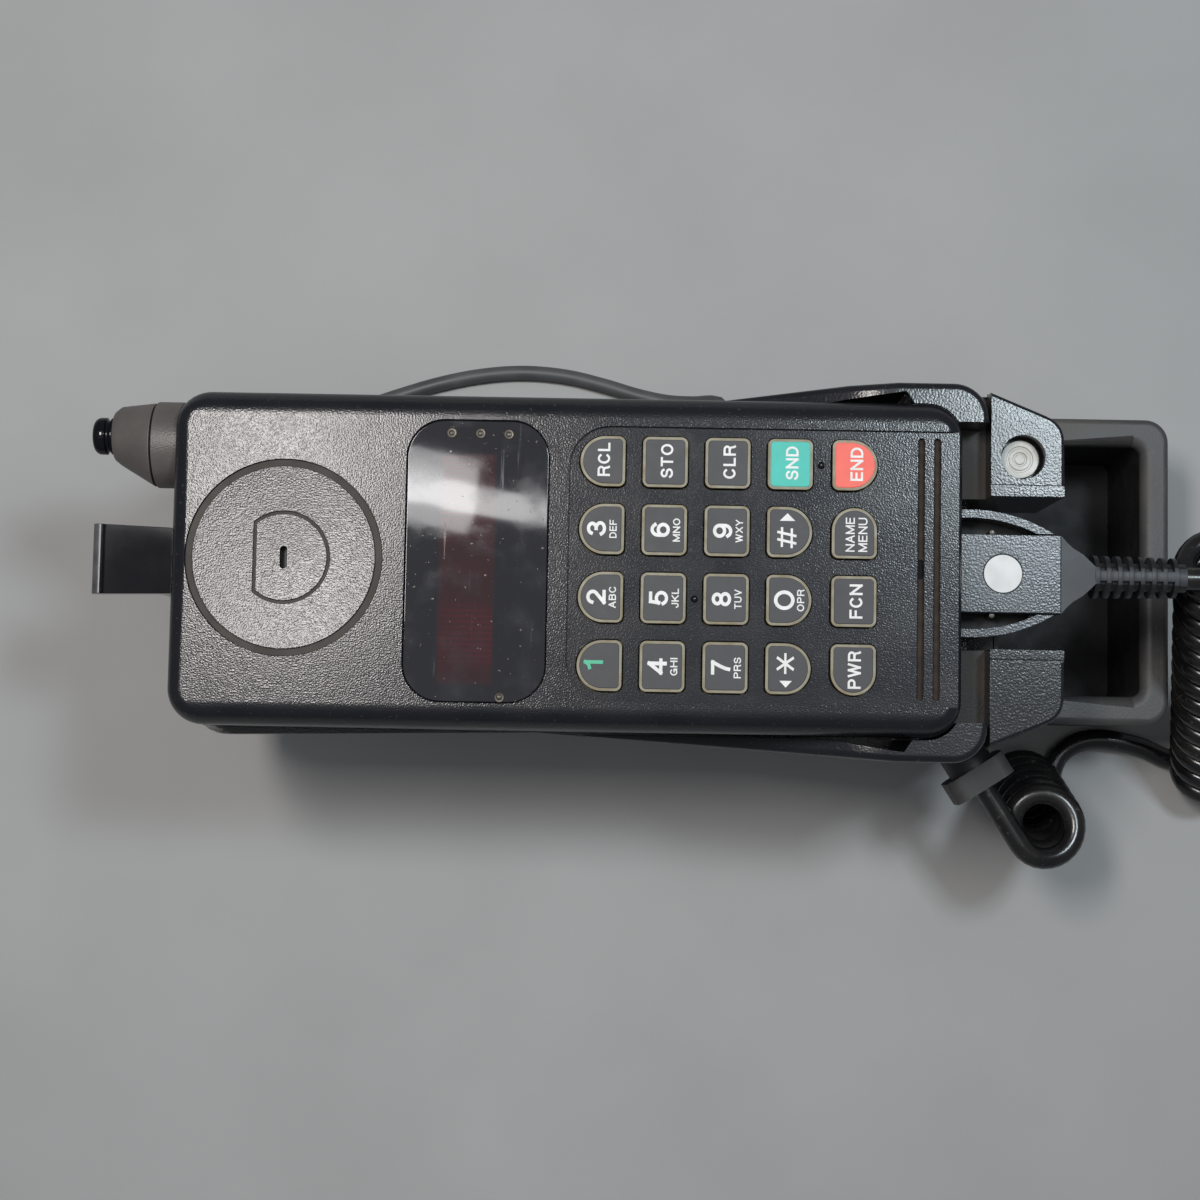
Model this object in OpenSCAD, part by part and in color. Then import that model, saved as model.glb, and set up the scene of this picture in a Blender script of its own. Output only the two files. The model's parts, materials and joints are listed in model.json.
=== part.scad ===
// Car phone: a keypad handset lying in a hang-up cradle on a hollow console box.
// Millimetres. X runs from the earpiece to the cord end, Y across the handset, Z up from the table.
// Places along X are measured from the middle of the handset, and place() then centres the whole.

/* [Handset] */
// Length of the handset
hand_len = 153.6; // [150:0.2:158]
// Width of the handset
hand_w = 65; // [63:0.5:68]
// Thickness of the handset without its battery
hand_t = 22; // [21:0.5:25]
// Corner radius seen from the front
hand_corner = 7; // [5:0.5:9]
// Rounding of the front edges
hand_fillet = 3.2; // [2:0.2:4]
// Wall of the two housings
wall = 2; // [1.6:0.1:2.4]
// Thickness of the front face
face_t = 2.6; // [2.4:0.1:3]
// Depth of the rear housing
rear_t = 5; // [4.5:0.1:5.4]
// Rounding of the rear edges
rear_fillet = 2; // [1:0.2:2.4]
// Thickness of the battery
battery_t = 8; // [6:0.5:11]
// Length of the battery
battery_len = 112; // [104:1:116]

/* [Keypad] */
// Spacing of the key columns, along the handset
key_pitch_x = 12.1; // [11.8:0.1:12.6]
// Spacing of the key rows, across the handset
key_pitch_y = 13.2; // [12.8:0.1:13.6]
// Key size along the handset
key_l = 8.7; // [8.2:0.1:9]
// Key size across the handset
key_w = 9.8; // [9.2:0.1:10.2]
// Corner radius of a key
key_corner = 1.3; // [1:0.1:2]
// How far the key tops stand above the keypad bed
key_rise = 1.2; // [0.9:0.1:1.6]
// Width of the pale border round a key top
key_border = 0.6; // [0.5:0.1:0.9]
// Travel of a key
key_travel = 0.8; // [0.5:0.1:1]
// Clearance of a key in its hole
key_gap = 0.3; // [0.25:0.05:0.4]
// Distance from the foot of the handset to the last key column
keypad_from_foot = 21.2; // [20:0.1:21.8]
// Depth of the keypad bed in the front face
bed_depth = 1; // [0.8:0.1:1.2]
// Width of the keypad bed
bed_w = 53.4; // [52:0.2:56]

/* [Display and earpiece] */
// Display lens size along the handset
lens_l = 27.9; // [25:0.1:29]
// Display lens size across the handset
lens_w = 55; // [50:0.5:57]
// Corner radius of the display lens
lens_corner = 7.5; // [4:0.5:9]
// Thickness of the display lens
lens_t = 1.5; // [1.2:0.1:1.7]
// Distance from the head of the handset to the lens
lens_from_head = 45.5; // [44:0.1:46]
// Distance from the head of the handset to the middle of the earpiece
ear_from_head = 22.2; // [21:0.1:22.6]
// Diameter of the earpiece recess
ear_d = 38.4; // [36:0.2:40]
// Diameter of the earpiece cap inside its sunk ring
ear_cap_d = 35.4; // [33:0.2:35.6]
// Diameter of the D-shaped mark in the earpiece cap
ear_mark_d = 18; // [14:0.5:22]

/* [Antenna] */
// Diameter of the antenna whip
whip_d = 2.6; // [2:0.1:3]
// How far the antenna pulls out
whip_travel = 100; // [80:1:105]
// Distance of the antenna from the middle line
antenna_y = 24.7; // [24:0.1:25.2]
// Depth of the antenna below the front face
antenna_drop = 12; // [11:0.1:12.6]
// Length of the antenna sleeve outside the handset
sleeve_len = 13.8; // [12.8:0.1:15]

/* [Plug and cords] */
// Length of the plug outside the handset
plug_len = 20; // [19:0.2:21]
// Width of the plug between its arms
plug_w = 15.4; // [14.6:0.1:16]
// Thickness of the plug
plug_t = 8; // [7.4:0.1:8.4]
// Depth of the plug below the front face
plug_drop = 8; // [7.4:0.1:8.6]
// Overall width across the two squeeze arms
arms_w = 25.2; // [24.6:0.1:25.8]
// Thickness of a squeeze arm
arm_t = 1.6; // [1.2:0.1:1.8]
// Length of the ribbed part of the strain relief
boot_len = 18.6; // [17:0.2:22]
// Diameter of the curly cord
cord_d = 4.6; // [4:0.1:4.7]
// Diameter of a curl, measured at the middle of the cord
curl_d = 13; // [12:0.2:13.4]
// Diameter of the plain lead
lead_d = 3.4; // [3:0.1:4]

/* [Cradle] */
// Height of the cradle base
base_h = 12; // [11:0.5:14]
// Width of the cradle base
base_w = 54; // [50:1:58]
// Thickness of the cradle floor
floor_t = 4; // [3.5:0.1:5]
// Thickness of the rubber pads under the handset
pad_t = 3.8; // [3:0.1:5]
// Width of the cradle at the foot cup
cup_w = 74.6; // [72:0.2:78]
// Width of the cradle at its waist
waist_w = 65.4; // [62:0.2:66]
// Width of the cradle at the head
head_w = 68.4; // [66:0.2:70]
// Depth of the cup rim below the front face
cup_drop = 5; // [4:0.5:8]
// Outer corner radius of the foot cup
cup_corner = 7; // [6:0.5:8]
// Clearance between the handset and the cradle walls
cup_gap = 0.5; // [0.4:0.1:1]
// Depth of the ears below the front face
ear_drop = 10; // [9:0.5:12]
// Length of an ear
ear_len = 14.6; // [13:0.2:16]
// Gap between the two ears
ears_gap = 29.6; // [28.4:0.2:31]
// Diameter of the ear button
button_d = 7.6; // [7:0.1:8]
// Diameter of the hole that shows round the ear button
button_hole_d = 8.8; // [8.4:0.1:9.4]
// Depth of the ear button in its hole
button_sink = 3.6; // [2.5:0.1:4.5]
// Travel of the ear button
button_travel = 2; // [1:0.1:2.5]
// Reach of the head clip beyond the handset
clip_reach = 17.6; // [16.6:0.1:18.6]
// Width of the head clip at its free end
clip_w = 14; // [13.6:0.2:15]

/* [Console box] */
// Height of the box
box_h = 34; // [32:0.5:38]
// Width of the box
box_w = 66.6; // [64:0.2:67]
// How far the box sits towards the antenna side of the middle line
box_shift = 4.8; // [4:0.1:5]
// End of the box past the foot of the handset
box_past_foot = 53; // [52:0.1:54]
// Distance from the middle of the handset to the other end of the box
box_back = 46; // [44:0.5:52]
// Wall of the box
box_wall = 6; // [5:0.1:7]
// Thickness of the box floor
box_floor = 3; // [2.5:0.1:4]
// Corner radius of the box
box_corner = 5; // [4:0.5:8]
// Length of the open well
well_len = 31; // [28:0.5:32]
// Thickness of the plate under the cradle
deck_t = 3; // [2.5:0.1:4]
// Diameter of the mounting holes in the well
mount_hole_d = 4.5; // [3.5:0.1:5.5]
// Spacing of the mounting holes along the box
mount_x = 12; // [10:0.5:16]
// Spacing of the mounting holes across the box
mount_y = 44; // [38:0.5:44]

/* [Hidden] */
$fn = 48;
// Clearance between pieces of one body, running fit of pins, clearance between moving pieces
loose = 0.2;
running = 0.05;
clear = 0.3;
eps = 0.01;

// Ends and levels; what lies along the face keeps its share of the handset's length
drawn_len = 153.6;
along = hand_len / drawn_len;
head_x = -hand_len / 2;
foot_x = hand_len / 2;
deck_z = box_h;
floor_z = deck_z + base_h + floor_t;
cup_z = deck_z + base_h;
back_z = floor_z + pad_t + loose;
rear_z = back_z + battery_t;
split_z = rear_z + rear_t;
face_z = rear_z + hand_t;
under_face_z = face_z - face_t;
bed_z = face_z - bed_depth;
cup_rim_z = face_z - cup_drop;
ear_z = face_z - ear_drop;
box_end = foot_x + box_past_foot;
clip_end = head_x - clip_reach;

// Battery
battery_x0 = foot_x - battery_len;
battery_fillet = 2.6;
grip_count = 6;
grip_pitch = 3;
grip_w = 1.2;
grip_depth = 0.7;

// Keypad: every key has a name, a column from the display, a row from the bottom and a shape
keys = [
    ["key_rcl", 0, 3, "left"], ["key_3", 0, 2, "left"],
    ["key_2", 0, 1, "left"], ["key_1", 0, 0, "left"],
    ["key_sto", 1, 3, "square"], ["key_6", 1, 2, "square"],
    ["key_5", 1, 1, "square"], ["key_4", 1, 0, "square"],
    ["key_clr", 2, 3, "square"], ["key_9", 2, 2, "square"],
    ["key_8", 2, 1, "square"], ["key_7", 2, 0, "square"],
    ["key_snd", 3, 3, "square"], ["key_hash", 3, 2, "right"],
    ["key_0", 3, 1, "right"], ["key_star", 3, 0, "right"],
    ["key_end", 4, 3, "right"], ["key_menu", 4, 2, "up"],
    ["key_fcn", 4, 1, "square"], ["key_pwr", 4, 0, "down"]
];
key_len = key_l * along;
pitch_x = key_pitch_x * along;
last_col_extra = 0.4 * along;
last_col_x = foot_x - keypad_from_foot * along;
function key_x(k) = last_col_x - (4 - k[1]) * pitch_x - (k[1] < 4 ? last_col_extra : 0);
function key_y(k) = (k[2] - 1.5) * key_pitch_y;
key_top_z = bed_z + key_rise;
key_cap_h = 0.15;
key_flange = 0.8;
key_flange_t = 0.9;
bed_margin = 6.5 * along;
bed_x0 = key_x(keys[0]) - bed_margin;
bed_corner = 8;
pip_d = 1.4;
pips = [for (k = [keys[6], keys[12]]) [key_x(k) + pitch_x / 2, key_y(k)]];

// Board and the pieces on it
board_t = 1.6;
board_z = under_face_z - 5.4;
board_top = board_z + board_t;
board_x0 = head_x + lens_from_head * along - 2;
board_x1 = last_col_x + 10.4 * along;
board_w = 54;
post_r = 1.6;
post_in = 2;
can_w = 30;
can_t = 2.2;
can_share = 0.36;
can_starts = [0.08, 0.55];
mat_t = 1;
mat_margin = 6 * along;
mat_side = 1;
mat_pad_d = 5;
mat_pad_top = under_face_z - loose - key_flange_t - key_travel - clear;
lens_len = lens_l * along;
lens_x = head_x + lens_from_head * along + lens_len / 2;
lens_ledge = 2.5;
display_l = 12 * along;
display_w = 46;
display_frame_l = 3;
display_frame_w = 1.5;
display_step = 1.2;

// Earpiece and microphone
ear_x = head_x + ear_from_head * along;
ear_sink = 1.6;
ring_sink = 0.6;
speaker_d = 26;
speaker_t = 3.4;
magnet_d = 14.4;
magnet_t = 2;
mark_flat = 5.9;
mark_groove = 0.6;
mark_depth = 0.4;
sound_l = 4.3;
sound_w = 1.3;
slot_from_foot = [8.2, 5.1];
slot_x = [for (d = slot_from_foot) foot_x - d * along];
slot_l = 51;
slot_w = 1.4;
slot_depth = 1.1;
mic_hole_l = 3.9;
mic_d = 6;
mic_t = 3.4;

// Screws that hold the housings together
screw_d = 2.4;
screw_head_d = 4.4;
screw_head_t = 1.2;
boss_d = 6;
screw_spots = [[head_x + 5.5, 14], [head_x + 5.5, -14], [foot_x - 6, 27], [foot_x - 6, -27]];
screw_sink_t = 0.8;
screw_grip = 11;

// Antenna
antenna_z = face_z - antenna_drop;
boss_r = 8.6;
boss_len = 5.2;
boss_groove = 0.4;
boss_y = antenna_y - 1.6;
boss_edge = 0.6;
spigot_r = 3;
spigot_len = 10;
whip_out = head_x - sleeve_len;
stop_r = 2;
stop_len = 3;
whip_in = head_x + spigot_len + whip_travel + clear;
tip_r = 3.7;
tip_len = 4;
tip_end = whip_out - clear - tip_len;
row_mid = (box_end + min(clip_end, tip_end)) / 2;
tip_round = 1.4;
tip_groove_r = 0.5;
nozzle_r = 5.9;
nozzle_end_r = 4.9;
nozzle_taper = 1.3;

// Plug, its arms and the socket in the foot of the handset
plug_top = face_z - plug_drop;
plug_z = plug_top - plug_t;
plug_mid_z = plug_z + plug_t / 2;
plug_x0 = foot_x + 0.4;
plug_x1 = plug_x0 + plug_len;
mouth_w = arms_w + 1.2;
mouth_h = plug_t - 0.6;
socket_w = 15.6;
socket_len = 9;
nose_w = 11;
nose_h = 4;
nose_len = 6;
web_t = 1.2;
contact_count = 8;
contact_pitch = 1.2;
contact_w = 0.7;
contact_t = 0.2;
dot_d = 7.5;
dot_t = 0.4;
dot_x = plug_x0 + 8.6;
arm_r = 31.4;
arm_flat = 2.2;
arm_pivot = [plug_x1 - 1.9, plug_w / 2 + 0.9];
tongue_len = 4.6;
tongue_h = 3;
nose_gap = plug_x0 - foot_x;
pocket_post_d = 1;
pocket_post = [6.6, 0.5];
solid_len = 5;
swing_slope = tan(7);
boot_neck = 6.6;
boot_core_d = 5.6;
boot_ribs = 8;
rib_r = [4.3, 4];
rib_share = 0.38;
spine_w = 2;
boot_cap = 2;
boot_start = 5.4;
boot_flank = [[0, 7.7], [1.1, 6.4], [2.3, 5.3], [4.4, 4], [7.6, 0.9]];
boot_x1 = plug_x1 + boot_neck + boot_len;

// Cradle
cup_wall_x0 = 4;
waist_x = -6;
head_flare_x = head_x + 9;
cup_x1 = foot_x + 5.8;
cup_flare_x = foot_x - 12;
cup_rise_x = foot_x - 22;
ear_x0 = foot_x + 6.9;
ear_x1 = ear_x0 + ear_len;
ear_outer = cup_w / 2 - 3.3;
ear_upper_out = 2.4;
ear_upper_in = 0.8;
ear_inner = [ears_gap / 2 + ear_upper_in, ears_gap / 2];
ear_rims = [ear_outer + ear_upper_out, ear_outer];
ear_corner = 5;
ear_strip = 1.9;
ear_line = 0.4;
shelf_z = ear_z - 6;
rim_wall = 2;
corner_y = cup_w / 2 - 7.8;
slit_from_foot = [27, 10.6, 9];
slit_x = [for (d = slit_from_foot) foot_x - d];
slit_depth = 2.4;
head_rim_h = 8;
base_x0 = -60;
base_x1 = foot_x + 9.5;
base_corner = 5;
base_wall = 2.5;
pad_d = 10;
pad_y = 20;
pad_x = [-24, foot_x - pad_y];
pad_spots = [for (x = pad_x, y = [1, -1]) [x, y * pad_y]];
cradle_screw_spots = [[-30, 0], [10, 18], [10, -18], [foot_x - 16, 0]];
cradle_screw_d = 3;
cradle_head_d = 6;
cradle_head_t = 1.8;
base_post_d = 8;

// Ear button and its spring
button_x = ear_x0 + 6.4;
button_y = (ears_gap / 2 + ear_outer) / 2 - 0.9;
button_top = ear_z - button_sink;
button_len = 11;
button_bottom = button_top - button_len;
button_wire = 0.7;
button_coil_d = 5.2;
button_turns = 5;
button_rings = [1.2, 2.4];
button_ring_w = 0.4;

// Head clip
pin_d = 2.4;
pin_len = 22;
pivot_x = head_x - 3.9;
pivot_z = cup_z + 2;
knuckle_r = 2.6;
knuckle_gap = 5.4;
lug_t = 3.6;
clip_root_w = 13;
clip_t = 2.4;
clip_top = face_z - 12;
clip_arm_x = head_x - 1.9;
nose_z = clip_top - 5;
nose_slope = [2, 2.4];
lip_r = 1.5;
clip_rise = 1.6;
clip_wire = 0.8;
clip_coil_d = 4.2;
clip_turns = 3;
clip_coil_len = 4;

// Box
box_len = box_end + box_back;
box_x = (box_end - box_back) / 2;
well_x1 = box_end - box_wall;
well_x0 = well_x1 - well_len;
bulkhead = 3;
room_x0 = -box_back + box_wall;
room_x1 = well_x0 - bulkhead;
room_w = box_w - 2 * box_wall;
ledge = 2;
box_rim = 1.5;
deck_corner = 3;
inner_corner = 2;
box_post_d = 8;
box_post_in = 3;
box_screw_spots = [for (x = [room_x0 + box_post_in, room_x1 - box_post_in], y = [-1, 1])
    [x, box_shift + y * (room_w / 2 - box_post_in)]];
box_screw_d = 3;
box_head_d = 5.6;
box_head_t = 1.6;
box_screw_len = 14;
unit_board_t = 1.6;
unit_post_h = 4;
unit_post_d = 6;
unit_post_in = 4;
unit_board_l = 70;
unit_board_w = 40;
unit_can = [24, 26, 6];
unit_can_at = [-20, 0];
unit_socket = [18, 18, 4];
unit_socket_at = [16, 4];
mount_in = 11.6;
mount_spots = [for (x = [-1, 1], y = [-1, 1])
    [well_x0 + mount_in + x * mount_x / 2, box_shift + y * mount_y / 2]];

// Curly cord: it leaves the strain relief, curls down to the table, runs along the foot of the box
// and curls up again to the collar on the cradle base
curl_r = curl_d / 2;
rings_per_curl = 8;
drop_turns = 14.5;
socket_turn = 33;
climb_turns = 6 + (180 - socket_turn) / 360;
socket_dir = [sin(socket_turn), -cos(socket_turn), 0];
socket_x = 78.6;
socket_z = deck_z + base_h / 2;
socket_start = [socket_x, -base_w / 2, socket_z];
socket_r = 5;
socket_reach = 13.5;
collar_t = 5;
collar_w = 14;
collar_h = 11;
collar_corner = 3;
cord_exit = socket_start + (socket_reach + collar_t) * socket_dir;
cord_lead_in = 14.4;
relief_end = [boot_x1, 0, plug_mid_z];
drop_entry = relief_end + [8, 0, 0];
drop_foot = [146, -40, 6.8];
drop_axis = unit(drop_foot - drop_entry + [0, -5, 4]);
drop_across = carry([1, 0, 0], drop_axis);
drop_up = cross(drop_axis, drop_across);
climb_foot = [104, -42, cord_d / 2 + 0.2];
climb_top = cord_exit + cord_lead_in * socket_dir + curl_r * [cos(socket_turn), sin(socket_turn), 0];
table_run = [[139, -36], [131, -33], [123, -31.6], [117, -32.4], [112.4, -36]];

function unit(v) = v / norm(v);
function carry(u, t) = unit(u - (u * t) * t);
function drop_point(f) = let (a = 360 * drop_turns * f, c0 = drop_entry - curl_r * drop_up)
    c0 + (drop_foot - c0) * f + curl_r * (sin(a) * drop_across + cos(a) * drop_up);
function climb_point(f) = let (a = -360 * climb_turns * f)
    climb_foot + (climb_top - climb_foot) * f + curl_r * [cos(a), sin(a), 0];
drop_rings = drop_turns * rings_per_curl;
climb_rings = round(climb_turns * rings_per_curl);
cord_path = concat(
    [relief_end, relief_end + [cord_d, 0, 0]],
    [for (i = [0:drop_rings]) drop_point(i / drop_rings)],
    [for (p = table_run) [p[0], p[1], cord_d / 2 + 0.1]],
    [for (i = [0:climb_rings]) climb_point(i / climb_rings)],
    [cord_exit + cord_d * socket_dir, cord_exit]
);
cord_gap = min([for (i = [0:len(cord_path) - 1], j = [i + 5:1:len(cord_path) - 1])
    norm(cord_path[i] - cord_path[j])]) - cord_d;

// Plain lead: from the cradle base down to the table, round the side of the box and into its wall
lead_r = lead_d / 2;
gland_len = 5;
gland_d = 7;
lead_start = [base_x0 - gland_len, 12, deck_z + base_h / 2];
lead_turn = 40;
lead_dir = [-sin(lead_turn), cos(lead_turn), 0];
lead_wall = [38, box_shift + box_w / 2, 7];
lead_finish = lead_wall + gland_len * lead_dir;
lead_path = [
    lead_start, lead_start + [-lead_d, 0, 0],
    [-72, 14, 35], [-76, 18, 26], [-76, 25, 15], [-71, 33, 6], [-63, 38, lead_r + 0.2],
    [-53, 42, lead_r], [-43, 45.6, lead_r], [-33, 48.8, lead_r], [-23, 51, lead_r], [-13, 51.9, lead_r],
    [-3, 51.2, lead_r], [6, 49.2, lead_r], [14, 46.9, lead_r + 0.2], [21, 45.4, lead_r + 1],
    [27, 44.9, lead_r + 2.5], lead_finish + lead_d * lead_dir, lead_finish
];

charcoal = [0.16, 0.16, 0.19];
black = [0.08, 0.08, 0.09];
gray = [0.34, 0.35, 0.37];
slate = [0.3, 0.33, 0.37];
steel = [0.7, 0.71, 0.73];

// Shifts a piece from the handset's middle to the middle of the whole
module place() {
    translate([-row_mid, 0, 0]) children();
}

// Rectangle with round corners
module rounded(l, w, r) {
    square([l - 2 * r, w], center = true);
    square([l, w - 2 * r], center = true);
    for (x = [-1, 1], y = [-1, 1])
        translate([x * (l / 2 - r), y * (w / 2 - r)]) circle(r);
}

// Half section of a rim: a wall of width rc with its top edge rounded by rt
module rim_section(rc, h, rt) {
    difference() {
        square([rc, h]);
        translate([rc - rt, h - rt]) difference() {
            square(rt + 1);
            circle(rt);
        }
    }
}

// Block with round corners in plan and a rounded top edge, standing on z = 0
module pillow(l, w, h, rc, rt) {
    translate([-l / 2 + rc, -w / 2 + rc, 0]) cube([l - 2 * rc, w - 2 * rc, h]);
    for (i = [0:3]) {
        a = (i % 2 == 0 ? l : w) / 2 - rc;
        b = (i % 2 == 0 ? w : l) - 2 * rc;
        rotate(i * 90) {
            translate([a, b / 2, 0]) rotate([90, 0, 0]) linear_extrude(b) rim_section(rc, h, rt);
            translate([a, b / 2, 0]) rotate_extrude(angle = 90) rim_section(rc, h, rt);
        }
    }
}

// Prism between two levels
module slab(z0, z1) {
    translate([0, 0, z0]) linear_extrude(z1 - z0) children();
}

// Cylinder along X between two places
module rod_x(x0, x1, r) {
    translate([x0, 0, 0]) rotate([0, 90, 0]) cylinder(r = r, h = x1 - x0);
}

// Rectangle with a half-round end on the +X side and round corners on the other
module arched(l, w, r) {
    translate([l / 2 - w / 2, 0]) intersection() {
        circle(w / 2);
        translate([-eps, -w / 2]) square([w, w]);
    }
    translate([-l / 2 + r, -w / 2]) square([l - w / 2 - r, w]);
    translate([-l / 2, -w / 2 + r]) square([l - w / 2, w - 2 * r]);
    for (y = [-1, 1]) translate([-l / 2 + r, y * (w / 2 - r)]) circle(r);
}

// Slot along Y with round ends
module oblong(w, l) {
    square([w, l - w], center = true);
    for (y = [-1, 1]) translate([0, y * (l - w) / 2]) circle(d = w);
}

// Outline of a key, grown all round by g
module key_outline(shape, g = 0) {
    l = key_len + 2 * g;
    w = key_w + 2 * g;
    r = key_corner + g;
    if (shape == "square") rounded(l, w, r);
    else if (shape == "up" || shape == "down") rotate(shape == "up" ? 90 : -90) arched(w, l, r);
    else rotate(shape == "left" ? 180 : 0) arched(l, w, r);
}

// Tube swept along a path, with round ends cut square
module tube(path, d, sides, lean) {
    last = len(path) - 1;
    t = [for (i = [0:last]) unit(path[min(i + 1, last)] - path[max(i - 1, 0)])];
    u = [for (i = 0, v = carry(lean, t[0]); i <= last; i = i + 1, v = i <= last ? carry(v, t[i]) : v) v];
    points = [for (i = [0:last], k = [0:sides - 1]) let (a = 360 * k / sides)
        path[i] + d / 2 * (cos(a) * u[i] + sin(a) * cross(t[i], u[i]))];
    skin = [for (i = [0:last - 1], k = [0:sides - 1])
        let (a = i * sides + k, b = i * sides + (k + 1) % sides)
        each [[a, a + sides, b + sides], [a, b + sides, b]]];
    ends = [for (k = [1:sides - 2]) each [[0, k, k + 1], last * sides * [1, 1, 1] + [0, k + 1, k]]];
    polyhedron(points, concat(skin, ends), convexity = 10);
}

// Helical spring standing on z = 0
module spring(coil_d, wire_d, height, turns) {
    n = turns * rings_per_curl;
    path = [for (i = [0:n]) let (a = 360 * turns * i / n)
        [coil_d / 2 * cos(a), coil_d / 2 * sin(a), wire_d / 2 + (height - wire_d) * i / n]];
    tube(path, wire_d, 6, [0, 0, 1]);
}

// Screw with its head below z = 0 and its shank above
module screw_up(head_d, head_t, shank_d, shank_len) {
    translate([0, 0, -head_t]) cylinder(d = head_d, h = head_t);
    cylinder(d = shank_d, h = shank_len);
}

// Handset

module front_housing() color(charcoal) place() {
    boss_z = rear_z + wall + loose;
    difference() {
        translate([0, 0, split_z]) pillow(hand_len, hand_w, face_z - split_z, hand_corner, hand_fillet);
        slab(split_z - 1, under_face_z) rounded(hand_len - 2 * wall, hand_w - 2 * wall, hand_corner - wall);
        // keypad bed, open at the foot
        slab(bed_z, face_z + 1) {
            translate([bed_x0 + bed_corner, -bed_w / 2]) square([hand_len, bed_w]);
            translate([bed_x0, -bed_w / 2 + bed_corner]) square([hand_len, bed_w - 2 * bed_corner]);
            for (y = [-1, 1])
                translate([bed_x0 + bed_corner, y * (bed_w / 2 - bed_corner)]) circle(bed_corner);
        }
        for (k = keys)
            slab(under_face_z - 1, face_z) translate([key_x(k), key_y(k)]) key_outline(k[3], key_gap);
        for (x = slot_x)
            slab(bed_z - slot_depth, face_z) translate([x, 0]) oblong(slot_w, slot_l);
        slab(under_face_z - 1, bed_z) translate([slot_x[0], 0]) oblong(slot_w, mic_hole_l);
        // display: a ledge for the lens and a window below it
        slab(face_z - lens_t - loose, face_z + 1) translate([lens_x, 0])
            rounded(lens_len, lens_w, lens_corner);
        slab(under_face_z - 1, face_z) translate([lens_x, 0])
            rounded(lens_len - 2 * lens_ledge, lens_w - 2 * lens_ledge, lens_corner - lens_ledge);
        // earpiece: a round recess and a sound hole
        translate([ear_x, 0, face_z - ear_sink]) cylinder(d = ear_d, h = ear_sink + 1);
        translate([ear_x, 0, under_face_z - 1]) cylinder(d = speaker_d - 4, h = face_t);
        // antenna hole in the head wall
        translate([0, antenna_y, antenna_z]) rod_x(head_x - 1, head_x + wall + 1, spigot_r + running);
        // mouth for the plug in the foot wall
        translate([foot_x - wall - 1, -mouth_w / 2, plug_mid_z - mouth_h / 2])
            cube([wall + 2, mouth_w, mouth_h]);
    }
    // screw bosses
    for (s = screw_spots) translate([s[0], s[1], boss_z]) difference() {
        cylinder(d = boss_d, h = under_face_z - boss_z);
        translate([0, 0, -1]) cylinder(d = screw_d + 2 * running, h = screw_grip + 2);
    }
    // board posts
    for (x = [board_x0 + post_in, board_x1 - post_in], y = [-1, 1])
        translate([x, y * (board_w / 2 - post_in), board_top])
            cylinder(r = post_r, h = under_face_z - board_top);
    // finger pips beside the keys
    for (p = pips) translate([p[0], p[1], bed_z]) sphere(d = pip_d);
}

module rear_housing() color(charcoal) place() difference() {
    translate([0, 0, split_z]) mirror([0, 0, 1])
        pillow(hand_len, hand_w, rear_t, hand_corner, rear_fillet);
    slab(rear_z + wall, split_z + 1) rounded(hand_len - 2 * wall, hand_w - 2 * wall, hand_corner - wall);
    for (s = screw_spots) translate([s[0], s[1], rear_z - 1]) {
        cylinder(d = screw_head_d + 2 * loose, h = screw_head_t + 1);
        cylinder(d = screw_d + 2 * running, h = wall + 2);
    }
}

module battery_pack() color(charcoal) place() difference() {
    translate([foot_x - battery_len / 2, 0, rear_z]) mirror([0, 0, 1])
        pillow(battery_len, hand_w, battery_t, hand_corner, battery_fillet);
    // finger grooves on both sides near the head end
    for (i = [0:grip_count - 1], y = [-1, 1])
        translate([battery_x0 + 2 * hand_corner + i * grip_pitch, y * hand_w / 2, rear_z - battery_t / 2])
            cube([grip_w, 2 * grip_depth, battery_t - 2 * battery_fillet + 1], center = true);
}

module display_lens() color([0.05, 0.02, 0.03]) place()
    slab(face_z - lens_t - loose, face_z - loose)
        translate([lens_x, 0]) rounded(lens_len - loose, lens_w - loose, lens_corner - loose / 2);

module display_module() color([0.35, 0.05, 0.06]) place() {
    top = face_z - lens_t - loose - clear;
    slab(board_top, top - display_step) translate([lens_x, 0])
        square([display_l + 2 * display_frame_l, display_w + 2 * display_frame_w], center = true);
    slab(top - display_step, top) translate([lens_x, 0]) square([display_l, display_w], center = true);
}

// D-shaped outline of the mark in the earpiece cap
module ear_mark(r) {
    difference() {
        circle(r);
        translate([-ear_mark_d / 2 - mark_flat + (ear_mark_d / 2 - r) - 1, -ear_mark_d])
            square([ear_mark_d / 2 + 1, 2 * ear_mark_d]);
    }
}

module earpiece_cap() color(charcoal) place() translate([ear_x, 0, face_z - ear_sink]) difference() {
    union() {
        cylinder(d = ear_d - loose, h = ear_sink - ring_sink);
        cylinder(d = ear_cap_d, h = ear_sink);
    }
    slab(ear_sink - mark_depth, ear_sink + 1) difference() {
        ear_mark(ear_mark_d / 2);
        ear_mark(ear_mark_d / 2 - mark_groove);
    }
    slab(-1, ear_sink + 1) oblong(sound_w, sound_l);
}

module earpiece_speaker() color(black) place() translate([ear_x, 0, under_face_z]) {
    translate([0, 0, -speaker_t]) cylinder(d = speaker_d, h = speaker_t);
    translate([0, 0, -speaker_t - magnet_t]) cylinder(d = magnet_d, h = magnet_t + eps);
}

module logic_board() color([0.1, 0.3, 0.2]) place() {
    board_l = board_x1 - board_x0;
    slab(board_z, board_top) translate([board_x0, -board_w / 2]) square([board_l, board_w]);
    // shield cans under the board
    slab(board_z - can_t, board_z) for (x = can_starts)
        translate([board_x0 + x * board_l, -can_w / 2]) square([can_share * board_l, can_w]);
}

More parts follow.
